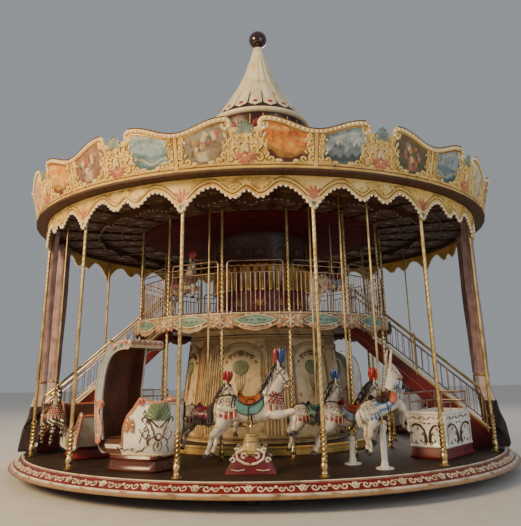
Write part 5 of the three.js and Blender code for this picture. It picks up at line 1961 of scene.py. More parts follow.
hoodedMesh = hoodedForm().mesh("hoodedCarriage")
seatPair(hoodedMesh, hooded, ("hoodedFront", "hoodedRear"), ("hooded_carriage_front", "hooded_carriage_rear"))
print("hooded carriages ready")


# Gondola: a cream bench box with painted arches, a red foot and two tube rails
gondola = {
    "x": 0.58, "y": 0.34, "low": 0.575, "high": 1.18, "rails": (1.33, 1.49), "angle": 53, "radius": 4.25,
}


def gondolaForm():
    form = Form(paint="tintedGloss")
    gx, gy, low, high = gondola["x"], gondola["y"], gondola["low"], gondola["high"]
    foot = [(-gx, -gy), (gx, -gy), (gx, gy), (-gx, gy)]

    def ringRow(z, out):
        return [(x + math.copysign(1, x) * out, y + math.copysign(1, y) * out, z) for x, y in foot]

    form.add(loftShape([ringRow(z, out) for z, out in (
        (deckTop, 0.015), (0.42, 0.022), (0.44, 0.005), (0.56, -0.01), (0.578, -0.02),
    )]), "redEnamel")
    steps = (
        (low, 0.0), (low + 0.02, 0.012), (low + 0.045, 0.0), (0.985, 0.0), (0.99, 0.012), (1.01, 0.012),
        (1.015, 0.0), (1.12, 0.0), (1.135, 0.016), (high, 0.016), (high, -0.05), (0.68, -0.05),
    )
    form.add(loftShape([ringRow(z, out) for z, out in steps], capped=False), "fittedGlossWhite")
    form.add(boxShape((-gx + 0.04, -gy + 0.04, 0.60), (gx - 0.04, gy - 0.04, 0.68)), "deckBoards")
    for side in (-1, 1):
        x0, x1 = sorted((side * (gx - 0.05), side * 0.29))
        form.add(boxShape((x0, -gy + 0.05, 0.68), (x1, gy - 0.05, 0.88)), "fittedGlossWhite")
        form.add(boxShape((x0 - 0.005, -gy + 0.05, 0.88), (x1 + 0.005, gy - 0.05, 0.905)), "brownPaint")
    brown, buff, faint = "#4E3626", "#9A7A58", "#8A6A50"
    faces = [(lambda s, up, lift: (s, -gy - lift, up), 1.6), (
        lambda s, up, lift: (-s, gy + lift, up), 1.6,
    ), (lambda s, up, lift: (gx + lift, s, up), 1.0), (lambda s, up, lift: (-gx - lift, -s, up), 1.0)]
    for place, wide in faces:
        def stretched(x, up, lift, place=place, wide=wide):
            return place(x * wide, up, lift)

        for side in (-1, 1):
            for path, radius, colour in (
                ([
                    (side * 0.025, 0.66), (side * 0.03, 0.76), (side * 0.06, 0.86), (side * 0.12, 0.935),
                    (side * 0.20, 0.96), (side * 0.265, 0.945), (side * 0.28, 0.91),
                ], 0.020, brown),
                ([
                    (side * 0.055, 0.66), (side * 0.06, 0.75), (side * 0.085, 0.82), (side * 0.07, 0.77),
                ], 0.011, brown),
                (spiral(side * 0.06, 0.645, 0.032, 0.01, 90 - side * 90, 90 + side * 250, 10), 0.012, brown),
                (spiral(side * 0.115, 0.80, 0.030, 0.008, 90, 90 + side * 280, 10), 0.008, buff),
                (spiral(side * 0.22, 0.655, 0.026, 0.008, 90, 90 - side * 300, 10), 0.010, buff),
                ([(side * 0.31, 0.64), (side * 0.315, 0.80), (side * 0.31, 0.965)], 0.007, buff),
                (spiral(side * 0.05, 1.065, 0.024, 0.008, 0, side * 300, 8), 0.008, faint),
                (spiral(side * 0.135, 1.07, 0.022, 0.008, 180, 180 - side * 300, 8), 0.008, faint),
                (spiral(side * 0.22, 1.065, 0.024, 0.008, 0, side * 300, 8), 0.008, faint),
                ([
                    (0, 1.04), (side * 0.08, 1.095), (side * 0.16, 1.04), (side * 0.24, 1.095),
                    (side * 0.31, 1.05),
                ], 0.007, faint),
            ):
                form.add(bead(lifted(path, 0.003), radius), colour, move=stretched)
            form.add(leafShape(side * 0.02, 0.975, 0.05, 0.028, 90 - side * 90), brown, move=stretched)
            form.add(leafShape(side * 0.17, 0.92, 0.07, 0.03, 270 + side * 20), buff, move=stretched)
            form.add(leafShape(side * 0.13, 0.66, 0.06, 0.03, 90), brown, move=stretched)
    postX, postY = gx - 0.03, gy - 0.03
    corners = [(-postX, -postY), (postX, -postY), (postX, postY), (-postX, postY)]
    for i, (x, y) in enumerate(corners):
        form.add(tubeShape([(x, y, 1.17), (x, y, 1.3), (x, y, 1.485)], 0.017, 8), "warmLitSteel")
        form.add(ballShape((x, y, 1.49), (0.022, 0.022, 0.016), 8, 6), "warmLitSteel")
        if i < 3:
            nx, ny = corners[i + 1]
            for z in gondola["rails"]:
                form.add(tubeShape(
                    [(x, y, z), ((x + nx) / 2, (y + ny) / 2, z), (nx, ny, z)], 0.0145, 8,
                ), "warmLitSteel")
            parts = 3 if i % 2 == 0 else 2
            for k in range(1, parts):
                px, py = x + (nx - x) * k / parts, y + (ny - y) * k / parts
                form.add(tubeShape([(px, py, 1.18), (px, py, 1.33)], 0.010, 6), "warmLitSteel")
    return form


gondolaMesh = gondolaForm().mesh("gondola")
seatPair(gondolaMesh, gondola, ("gondolaRight", "gondolaLeft"), ("gondola_right", "gondola_left"))
print("gondolas ready")


# Sleigh: two sweeping cream sides with a coral rolled edge, a bench between them
sleigh = {"half": 0.40, "angle": -56, "radius": 4.0, "outline": [
    (-0.55, 0.57), (0.44, 0.57), (0.63, 0.80), (0.82, 1.12), (0.84, 1.19), (0.77, 1.215), (0.60, 1.05),
    (0.38, 0.91), (0.1, 0.87), (-0.14, 0.89), (-0.40, 1.00), (-0.56, 1.24), (-0.66, 1.36), (-0.73, 1.37),
    (-0.755, 1.26), (-0.68, 0.98), (-0.62, 0.75),
]}


def sleighForm():
    form = Form(paint="tintedGloss")
    outline = smoothLine(sleigh["outline"], 4, True)
    half = sleigh["half"]
    for side in (-1, 1):
        y = side * half
        form.add(
            plateShape(outline, 0.04), "fittedGlossWhite", move=lambda a, b, c, y=y,
            side=side: (a, y - side * c, b),
        )
        edge = [(x, y - side * 0.005, z) for x, z in outline[6:62]]
        form.add(tubeShape(edge, 0.032, 6), "#CE8E78")
        grey = "#7C7A78"
        paths = [
            spiral(0.30, 0.72, 0.09, 0.016, 200, -160, 14), spiral(0.56, 0.90, 0.06, 0.012, 30, 380, 12),
            spiral(0.05, 0.73, 0.07, 0.014, -20, 330, 14), spiral(-0.28, 0.80, 0.10, 0.016, 180, -170, 14),
            spiral(-0.55, 1.05, 0.08, 0.014, 0, 340, 12), spiral(-0.64, 1.24, 0.05, 0.012, 200, -120, 12),
            [
                (0.70, 1.08), (0.60, 0.98), (0.48, 0.84), (0.40, 0.70),
            ], [(-0.45, 0.92), (-0.40, 0.78), (-0.44, 0.64)],
        ]
        paths += [
            spiral(0.18, 0.66, 0.05, 0.012, 180, -160, 12), spiral(-0.12, 0.66, 0.045, 0.010, 0, 330, 12),
            spiral(0.66, 1.02, 0.045, 0.010, 0, 330, 12),
            [(0.30, 0.86), (0.18, 0.72), (0.0, 0.66), (-0.16, 0.74), (-0.30, 0.98), (-0.46, 1.20)],
        ]
        sideScrolls(form, paths, y, 0.016, grey, 0.006)
        for x, z, long, turn in (
            (0.42, 0.80, 0.12, 50), (0.16, 0.78, 0.1, 150), (-0.12, 0.70, 0.11, 30),
            (-0.42, 0.72, 0.1, 110), (-0.60, 0.92, 0.1, 100),
        ):
            form.add(leafShape(x, z, long, 0.04, turn), "#B98468", move=onSide(y))
        form.add(movedShell(-0.05, 0.60, 0.2, 0.18, 7, 0.02, 0, 130), sage, move=onSide(y))
    inner = half - 0.03
    back = smoothLine([(-0.60, 0.70), (-0.64, 0.95), (-0.66, 1.15), (-0.70, 1.33)], 4)
    front = smoothLine([(0.40, 0.60), (0.58, 0.80), (0.74, 1.04), (0.81, 1.18)], 4)
    for line, lining in ((back, 0.03), (front, -0.03)):
        form.add(sheetShape(
            [[(x, y, z) for y in spread(-inner, inner, 8)] for x, z in line]
        ), "fittedGlossWhite")
        form.add(sheetShape(
            [[(x + lining, y, z) for y in spread(-inner, inner, 8)] for x, z in line]
        ), "liningPaint")
    for line in (back, front):
        x, z = line[-1]
        form.add(tubeShape([(x, y, z) for y in spread(-half, half, 4)], 0.028, 8), coral)
    form.add(boxShape((-0.56, -inner, 0.60), (0.42, inner, 0.66)), "deckBoards")
    form.add(boxShape((-0.54, -inner, 0.66), (-0.14, inner, 0.83)), "fittedGlossWhite")
    form.add(boxShape((-0.55, -inner, 0.83), (-0.12, inner, 0.855)), "brownPaint")
    foot = [(-0.50, -0.33), (0.40, -0.33), (0.40, 0.33), (-0.50, 0.33)]
    rows = [[
        (x * k, y * k, z) for x, y in foot
    ] for z, k in ((deckTop, 1.0), (0.42, 1.04), (0.45, 0.97), (0.56, 0.92), (0.60, 1.0))]
    form.add(loftShape(rows), "redEnamel")
    return form


sleighMesh = sleighForm().mesh("sleigh")
seatPair(sleighMesh, sleigh, ("sleighLeft", "sleighRight"), ("sleigh_left", "sleigh_right"))
print("sleighs ready")


# Curtains: gathered cloth hung from the ring beam beside each stair, held in with a gilt ring
curtain = {
    "radius": 4.88, "aside": 9.107, "top": 4.972, "low": 0.48, "tie": 1.78, "folds": 7, "frill": 1.28,
    "cut": (3.0, 4.5),
    "halves": [
        (0.48, 0.265), (0.8, 0.24), (1.2, 0.175), (1.6, 0.125), (1.78, 0.105), (2.3, 0.20), (3.4, 0.26),
        (4.972, 0.265),
    ],
    "bulge": [(0.48, 0.18), (0.8, 0.16), (1.2, 0.08), (1.6, 0.0), (4.972, 0.0)],
    "gathers": [(0.48, 4.6), (1.6, 7), (4.972, 7)],
}


def curtainForm(seed):
    form = Form()
    chance = random.Random(seed)
    drift = [chance.uniform(-0.4, 0.4) for _ in range(curtain["folds"] + 1)]
    rows = []
    levels = spread(curtain["low"], curtain["top"], 60)
    for z in levels:
        half = easeBetween(curtain["halves"], z)
        gathers, bulge = easeBetween(curtain["gathers"], z), easeBetween(curtain["bulge"], z)
        depth = math.sqrt(max(curtain["cut"][0] ** 2 - (2 * half) ** 2, 0.01)) / (4.4 * gathers)
        row = []
        for s in spread(-1, 1, 110):
            wave = s / 2 * gathers
            shift = drift[int((s + 1) / 2 * (curtain["folds"] - 0.01))] * math.sin(z * 1.7) * 0.35
            row.append((half * s, depth * math.sin(
                2 * math.pi * wave + shift
            ) + 0.006 * math.sin(z * 3 + s * 4) - bulge, z))
        rows.append(row)
    points, faces = sheetShape(rows)
    wide = 111
    form.add((points, faces), "curtainCloth")
    for i, face in enumerate(faces):
        level = levels[face[0] // wide]
        if level < curtain["tie"] - 0.05:
            form.finishes[i] = "curtainFrill" if level > curtain["frill"] else "curtainLining"
    return form


ties = []
for side, sign in (("Left", -1), ("Right", 1)):
    for end, way in (("Front", -1), ("Back", 1)):
        angle = sign * (3 * bay + way * curtain["aside"])
        cloth = berthed(curtainForm(len(ties)).mesh("curtain", True, False), angle, curtain["radius"])
        piece = showMesh("curtain" + side + end, cloth, 0)
        thick = piece.modifiers.new("cloth", "SOLIDIFY")
        thick.thickness = 0.002
        thick.offset = 0
        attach(piece, "carousel")
        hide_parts("curtain_" + side.lower() + "_" + end.lower())
        ring = [(0.135 * math.cos(t), 0.112 * math.sin(t), curtain["tie"]) for t in turns(24)]
        tie = Form()
        tie.add(tubeShape(ring, 0.014, 6, True), "giltMetal")
        ties.append(berthed(tie.mesh("tie"), angle, curtain["radius"]))
seat("curtainRings", together("curtainRings", ties), sharp=0)
print("curtains ready")


# Figures: a jointless carved horse about the origin of its saddle, facing +x, then its dress
figures = {
    "voxel": 0.013, "keep": 0.55,
    "trunk": [
        (
            -0.60, -0.12, 0.05, 0.07,
        ), (-0.55, -0.13, 0.12, 0.13), (-0.47, -0.135, 0.165, 0.175), (-0.36, -0.14, 0.18, 0.19),
        (
            -0.22, -0.16, 0.168, 0.178,
        ), (-0.05, -0.175, 0.172, 0.18), (0.10, -0.165, 0.172, 0.185), (0.22, -0.14, 0.168, 0.20),
        (0.33, -0.11, 0.15, 0.20), (0.42, -0.08, 0.11, 0.16), (0.47, -0.06, 0.06, 0.09),
    ],
    "neck": [(0.27, -0.03, 0.115, 0.20), (
        0.34, 0.10, 0.092, 0.165,
    ), (0.40, 0.22, 0.075, 0.135), (0.445, 0.33, 0.064, 0.112), (0.475, 0.42, 0.055, 0.09)],
    "bigHead": [(0.425, 0.47, 0.055, 0.075), (0.475, 0.43, 0.082, 0.122), (0.53, 0.355, 0.074, 0.110), (
        0.58, 0.275, 0.062, 0.086,
    ), (0.62, 0.205, 0.056, 0.070), (0.645, 0.162, 0.054, 0.062), (0.658, 0.132, 0.036, 0.042)],
    "head": [(0.44, 0.455, 0.045, 0.06), (0.485, 0.42, 0.066, 0.098), (0.53, 0.355, 0.058, 0.088), (
        0.57, 0.285, 0.048, 0.067,
    ), (0.60, 0.225, 0.043, 0.054), (0.622, 0.185, 0.043, 0.050), (0.634, 0.158, 0.030, 0.034)],
    "foreNear": [
        (0.28, -0.16, 0.115), (0.38, -0.215, 0.095), (0.49, -0.225, 0.068), (0.60, -0.20, 0.055),
        (0.685, -0.185, 0.056), (0.71, -0.24, 0.046), (0.70, -0.32, 0.034), (0.68, -0.40, 0.042),
        (0.672, -0.445, 0.034), (0.68, -0.47, 0.036),
    ],
    "foreFar": [
        (0.27, -0.17, 0.115), (0.36, -0.24, 0.092), (0.46, -0.25, 0.066), (0.56, -0.235, 0.054),
        (0.64, -0.225, 0.055), (0.66, -0.28, 0.045), (0.645, -0.37, 0.034), (0.615, -0.45, 0.042),
        (0.605, -0.49, 0.034), (0.61, -0.515, 0.036),
    ],
    "hangNear": [
        (0.27, -0.15, 0.115), (0.33, -0.28, 0.098), (0.37, -0.40, 0.074), (0.388, -0.49, 0.060),
        (0.392, -0.56, 0.056), (0.385, -0.61, 0.048), (0.36, -0.69, 0.036), (0.335, -0.765, 0.042),
        (0.325, -0.805, 0.034), (0.33, -0.825, 0.036),
    ],
    "hangFar": [
        (0.29, -0.13, 0.115), (0.37, -0.24, 0.096), (0.42, -0.35, 0.072), (0.44, -0.44, 0.058),
        (0.445, -0.51, 0.056), (0.437, -0.56, 0.048), (0.41, -0.64, 0.036), (0.38, -0.715, 0.042),
        (0.37, -0.755, 0.034), (0.375, -0.775, 0.036),
    ],
    "hindNear": [
        (-0.40, -0.15, 0.15), (-0.43, -0.29, 0.122), (-0.485, -0.385, 0.087), (-0.555, -0.47, 0.060),
        (-0.605, -0.53, 0.057), (-0.635, -0.62, 0.040), (-0.66, -0.71, 0.035), (-0.68, -0.765, 0.042),
        (-0.705, -0.80, 0.036),
    ],
    "hindFar": [
        (-0.38, -0.15, 0.15), (-0.39, -0.29, 0.122), (-0.43, -0.385, 0.087), (-0.495, -0.47, 0.060),
        (-0.545, -0.53, 0.057), (-0.57, -0.62, 0.040), (-0.59, -0.71, 0.035), (-0.61, -0.765, 0.042),
        (-0.635, -0.80, 0.036),
    ],
}


def ovalRows(path, steps=16):
    rows = []
    for i, (x, z, half, tall) in enumerate(path):
        ax, az = path[max(i - 1, 0)][:2]
        bx, bz = path[min(i + 1, len(path) - 1)][:2]
        size = math.hypot(bx - ax, bz - az)
        nx, nz = -(bz - az) / size, (bx - ax) / size
        rows.append([(
            x + tall * nx * math.sin(t), half * math.cos(t), z + tall * nz * math.sin(t),
        ) for t in turns(steps)])
    return rows


def limbRows(path, y, steps=10):
    return tubeShape([
        (x, y + 0.02 * math.sin(i), z) for i, (x, z, _) in enumerate(path)
    ], [r for _, _, r in path], steps, flat=0.86, face=(0, 1, 0))


def carvedBody(ears):
    form = Form(paint="tintedGloss")
    setup = figures

    def add(shape):
        form.add(shape, "#FFFFFF")

    add(loftShape(ovalRows([(x, z, h, t) for x, z, h, t in setup["trunk"]], 20)))
    add(loftShape(ovalRows(setup["neck"], 16)))
    add(loftShape(ovalRows(setup["bigHead" if ears else "head"], 14)))
    fore = "hang" if ears else "fore"
    for y, key in ((-0.105, fore + "Near"), (0.105, fore + "Far"), (-0.105, "hindNear"), (0.105, "hindFar")):
        add(limbRows(smoothLine(setup[key], 3), y))
    for side in (-1, 1):
        add(ballShape((-0.43, side * 0.085, -0.17), (0.165, 0.105, 0.175), 14, 10))
        add(ballShape((0.27, side * 0.075, -0.11), (0.13, 0.095, 0.17), 14, 10))
        add(ballShape((0.505, side * 0.030, 0.345), (0.068, 0.042, 0.078), 12, 8))
        add(ballShape((0.622, side * 0.020, 0.192), (0.032, 0.028, 0.030), 10, 8))
        add(ballShape((0.553, side * 0.046, 0.392), (0.026, 0.018, 0.024), 8, 6))
        if ears:
            ear = smoothLine([(
                0.45, side * 0.045, 0.46,
            ), (0.49, side * 0.070, 0.56), (0.55, side * 0.078, 0.67), (0.63, side * 0.070, 0.785)], 3)
            add(tubeShape(ear, [0.030 + 0.030 * math.sin(
                math.pi * min(0.08 + 0.9 * i / (len(ear) - 1), 0.97)
            ) for i in range(len(ear))], 8, flat=0.5))
        else:
            add(tubeShape([
                (0.465, side * 0.042, 0.49), (0.462, side * 0.062, 0.555), (0.44, side * 0.065, 0.62),
            ], [0.034, 0.028, 0.008], 8, flat=0.55))
    add(ballShape((0.40, 0, -0.12), (0.11, 0.115, 0.14), 14, 10))
    add(ballShape((0.615, 0, 0.152), (0.028, 0.030, 0.024), 10, 8))
    rough = form.mesh("rough")
    holder = bpy.data.objects.new("rough", rough)
    scene.collection.objects.link(holder)
    remesh = holder.modifiers.new("fuse", "REMESH")
    remesh.mode = "VOXEL"
    remesh.voxel_size = setup["voxel"]
    soften = holder.modifiers.new("soften", "SMOOTH")
    soften.factor = 0.5
    soften.iterations = 5
    thin = holder.modifiers.new("thin", "DECIMATE")
    thin.ratio = setup["keep"]
    body = bpy.data.meshes.new_from_object(holder.evaluated_get(bpy.context.evaluated_depsgraph_get()))
    bpy.data.objects.remove(holder)
    return body


carved = {False: carvedBody(False), True: carvedBody(True)}
print("carved bodies:", [len(body.polygons) for body in carved.values()])


def bodyColours(points, coat):
    x, y, z = points[:, 0], points[:, 1], points[:, 2]
    white = np.array(linear("#EFE5D3"))
    colour = np.tile(white, (len(points), 1))

    def lay(amount, over):
        a = np.clip(amount, 0, 1)[:, None]
        colour[:] = colour * (1 - a) + np.array(over) * a

    if coat == "striped":
        lean = np.where(x > 0.28, x * 0.5 + z * 1.0, x + 0.25 * z)
        low = z < -0.38
        wave = np.where(low, z, lean) * 2 * math.pi / 0.085
        lay(6 * (np.sin(wave + 1.3 * np.sin(y * 9)) + 0.22), linear("#1F1A18"))
    # Painted shade: greyer under the belly, on the lower legs, in soft patches where legs and neck meet the
    # trunk, and along the belly's midline.
    under = np.clip((-0.27 - z) / 0.5, 0, 1) * (z > -0.5) * (np.abs(x) < 0.4)
    lay(0.35 * under, linear("#8E7C66"))
    lay((z < -0.45) * 0.3, linear("#9C8C76"))
    for cx, cz in ((0.30, -0.27), (-0.40, -0.34), (0.42, 0.02), (-0.30, 0.02)):
        lay(0.35 * np.exp(-((x - cx) ** 2 + (z - cz) ** 2) / 0.003), linear("#9A866C"))
    lay(3 * (
        0.10 - np.hypot(x - 0.635, z - 0.165)
    ) / 0.1, linear("#B08D7E") if coat != "striped" else linear("#3A2F2A"))
    lay(0.5 * (np.abs(y) < 0.02) * (z < -0.30) * (np.abs(x) < 0.3), linear("#B9AC98"))
    return colour


def trunkAt(x):
    rows = figures["trunk"]
    keys = [[(row[0], row[i]) for row in rows] for i in (1, 2, 3)]
    return [easeBetween(key, x) for key in keys]


def wrap(x, a, off):
    centre, half, tall = trunkAt(x)
    t = math.radians(a)
    return (x, (half + off) * math.sin(t), centre + (tall + off) * math.cos(t))


def draped(form, x0, x1, reach, off, look, hem=None, low=0.0, bulge=0.0):
    rows = []
    steps = 26
    for u in spread(0, 1, 14):
        edge = reach * (1 - low * (2 * u - 1) ** 4)
        row = []
        for k in spread(-1, 1, steps):
            lift = off + bulge * (1 - k * k) + 0.004 * math.sin(u * 17) * abs(k)
            row.append(wrap(x0 + (x1 - x0) * u, edge * k, lift))
        rows.append(row)
    form.add(sheetShape(rows), look)
    under = [[tuple(np.array(p) * 0.999 - np.array((0, 0, 0.004))) for p in row] for row in rows]
    form.add(sheetShape(under), look)
    if hem:
        form.add(tubeShape(rimOf(rows), 0.010, 5, True), hem)


def rimOf(rows):
    return [row[0] for row in rows] + rows[-1][1:-1] + [row[-1] for row in rows[::-1]] + rows[0][-2:0:-1]


def strap(form, points, look, radius):
    form.add(tubeShape(smoothLine(points, 4), radius, 6, flat=0.45), look)


def saddleForm(form, dress):
    top = linear(dress["saddle"])
    rows = []
    for u in spread(0, 1, 14):
        x = -0.19 + 0.36 * u
        rise = 0.020 + 0.060 * max(0, (0.28 - u) / 0.28) ** 1.3 + 0.045 * max(0, (u - 0.75) / 0.25) ** 1.4
        reach = 62 - 18 * abs(2 * u - 1) ** 2
        rows.append([wrap(x, reach * k, 0.024 + rise * (1 - 0.75 * k * k)) for k in spread(-1, 1, 16)])
    form.add(sheetShape(rows), top)
    # Painted shade: the saddle's underside sheet is the top colour at half brightness.
    low = [[(x, y * 0.98, z - 0.018) for x, y, z in row] for row in rows]
    form.add(sheetShape(low), tuple(c * 0.5 for c in top))
    form.add(tubeShape(rimOf(rows), 0.012, 6, True), dress["trim"])
    for side in (-1, 1):
        strap(form, [
            wrap(-0.02, side * 70, 0.03), wrap(-0.03, side * 105, 0.035), wrap(-0.03, side * 128, 0.03),
        ], "#2E211A", 0.012)
        x, y, z = wrap(-0.03, side * 128, 0.03)
        ring = [(x + 0.045 * math.sin(t), y, z - 0.05 + 0.05 * math.cos(t)) for t in turns(14)]
        form.add(tubeShape(ring, 0.008, 5, True), "giltMetal")
        points = [wrap(0.0 + 0.07 * math.cos(t), side * (52 + 16 * math.sin(t)), 0.05) for t in turns(16)]
        form.add(tubeShape(points, 0.007, 5, True), dress["trim"])


def tassels(form, spots, tints, long=0.075):
    for i, (x, y, z) in enumerate(spots):
        tint = tints[i % len(tints)]
        form.add(ballShape((x, y, z), (0.014, 0.012, 0.014), 6, 4), "#E8D9B0")
        form.add(tubeShape(
            [(x, y, z - 0.01), (x, y, z - long * 0.6), (x, y, z - long)], [0.008, 0.014, 0.010], 6,
        ), tint)


def maneForm(form, dress):
    tint, pale = linear(dress["mane"]), "#CFC6B8"
    chance = random.Random(7)
    crest = smoothLine(
        [(0.44, 0.53), (0.37, 0.47), (0.30, 0.36), (0.24, 0.24), (0.18, 0.13), (0.12, 0.05)], 4,
    )
    form.add(tubeShape([(x, 0, z) for x, z in crest], [0.026] * (len(crest) - 1) + [0.012], 8), tint)
    if not dress["plume"]:
        for i, (x, z) in enumerate(crest[:-2]):
            for y in (-0.014, 0.014):
                line = [(x + 0.005, y, z), (
                    x - 0.030, y * 1.3, z + 0.018,
                ), (x - 0.058, y * 0.6, z + 0.012 * (i % 2))]
                form.add(tubeShape(line, [0.020, 0.017, 0.005], 6), tuple(
                    c * (0.8 + 0.4 * (i % 2)) for c in tint
                ))
    for i, (x, z) in enumerate(crest[1:-1] if dress["plume"] else []):
        wide = 0.058 + 0.055 * i / len(crest)
        wave = 0.012 * math.sin(i * 1.7)
        for k, y in enumerate((-0.040, -0.012, 0.016, 0.042)):
            drop = 0.9 + 0.35 * chance.random()
            line = smoothLine([
                (x + 0.01, 0.4 * y, z + 0.01), (x - 0.035, y, z - 0.02 * drop),
                (x - 0.075 - wave, y * 1.3, z - 0.09 * drop), (x - 0.075 + wave, y * 1.5, z - 0.17 * drop),
                (x - 0.05 - wave, y * 1.6, z - 0.24 * drop),
            ], 3)
            radii = [0.024 * (1 - 0.8 * (j / (len(line) - 1)) ** 1.5) for j in range(len(line))]
            shade = 0.7 + 0.5 * ((i * 3 + k) % 3)
            form.add(tubeShape(line, radii, 6, flat=0.6), tuple(c * shade for c in tint))
        if i % 2:
            continue
        for side in (-1, 1):
            for shift, radius, lock in ((0.0, 0.013, pale), (0.014, 0.005, tint)):
                line = smoothLine([
                    (x + shift, side * 0.020, z),
                    (x + 0.022 + shift, side * (0.66 * wide + 0.010), z - 0.055),
                    (x + 0.016 + wave + shift, side * (0.98 * wide + 0.010), z - 0.125),
                    (x - 0.004 - wave + shift, side * (wide + 0.010), z - 0.20),
                ], 3)
                form.add(tubeShape(
                    line, [radius * (1 - 0.7 * j / (len(line) - 1)) for j in range(len(line))], 5, flat=0.7,
                ), lock)
    for y in (-0.02, 0.0, 0.022):
        line = smoothLine(
            [(0.46, y, 0.52), (0.52, y * 1.6, 0.505), (0.56, y * 2, 0.455), (0.575, y * 2.2, 0.41)], 3,
        )
        form.add(tubeShape(
            line, [0.017 * (1 - 0.8 * k / (len(line) - 1)) for k in range(len(line))], 6, flat=0.6,
        ), tint)
    for i in range(7):
        y, shift = 0.030 * math.sin(i * 2.4), 0.025 * math.cos(i * 2.4)
        line = smoothLine([(-0.575, y * 0.3, -0.06), (
            -0.625, y * 0.7, -0.075,
        ), (-0.655 + shift, y, -0.16), (-0.65 + shift * 1.4, y * 1.1, -0.33 - 0.02 * (i % 3))], 3)
        radii = [0.014 + 0.016 * math.sin(math.pi * min(k / (len(line) - 1), 0.96)) for k in range(len(line))]
        radii[-1] = 0.004
        form.add(tubeShape(line, radii, 6), tint if i % 2 else tuple(c * 1.5 + 0.01 for c in tint))


def bridleForm(form, dress):
    leather = dress["leather"]
    for x, z, half, tall, lean in ((0.583, 0.258, 0.052, 0.066, 62), (0.480, 0.425, 0.076, 0.102, 50)):
        ring = []
        for t in turns(18):
            a = math.radians(lean)
            up, out = tall * math.sin(t), half * math.cos(t)
            ring.append((x + up * math.sin(a), out, z + up * math.cos(a)))
        form.add(tubeShape(ring, 0.009, 5, True), leather)
    for side in (-1, 1):
        strap(form, [(0.46, side * 0.075, 0.445), (
            0.52, side * 0.076, 0.355,
        ), (0.575, side * 0.056, 0.265), (0.602, side * 0.050, 0.205)], leather, 0.009)
        strap(form, [(0.60, side * 0.052, 0.19), (0.53, side * 0.09, 0.13), (
            0.42, side * 0.135, 0.07,
        ), (0.28, side * 0.15, 0.07), (0.14, side * 0.08, 0.075)], leather, 0.009)
        form.add(ballShape((0.602, side * 0.053, 0.195), (0.019, 0.008, 0.019), 8, 6), "giltMetal")
        form.add(ballShape((0.555, side * 0.061, 0.394), (0.020, 0.012, 0.018), 10, 6), "#17110E")
        form.add(ballShape((0.640, side * 0.038, 0.190), (0.010, 0.008, 0.012), 6, 4), "#4A342E")
        form.add(tubeShape(smoothLine(
            [(0.652, side * 0.012, 0.150), (0.625, side * 0.042, 0.143), (0.597, side * 0.047, 0.160)], 3,
        ), 0.004, 4), "#6A3A34")
        for k in range(5):
            t = k / 4
            form.add(ballShape((
                0.472 + 0.082 * t, side * (0.078 - 0.012 * t), 0.43 - 0.11 * t,
            ), (0.011, 0.007, 0.011), 6, 4), "#E8E0CE" if k % 2 else dress["harness"])


def plumeForm(form, dress):
    if not dress["plume"]:
        return
    for i, code in enumerate(dress["plume"]):
        side = i - (len(dress["plume"]) - 1) / 2
        for k in range(9):
            base = (0.468 + 0.035 * side, 0.014 * ((k % 3) - 1), 0.54)
            middle = (0.470 + side * 0.085 + 0.022 * math.cos(k * 2.1), 0.040 * math.sin(k * 2.4), 0.655)
            tip = (
                0.472 + side * 0.080 + 0.030 * math.cos(k * 2.1), 0.048 * math.sin(k * 2.4),
                0.755 + 0.030 * math.sin(k * 1.3),
            )
            line = smoothLine([base, middle, tip], 3)
            radii = [0.010 + 0.034 * math.sin(
                math.pi * (0.10 + 0.72 * j / (len(line) - 1))
            ) for j in range(len(line))]
            form.add(tubeShape(line, radii, 6), tuple(c * (0.8 + 0.3 * (k % 2)) for c in linear(code)))
    form.add(tubeShape([(0.462, 0, 0.50), (0.465, 0, 0.56)], [0.026, 0.016], 8), "giltMetal")


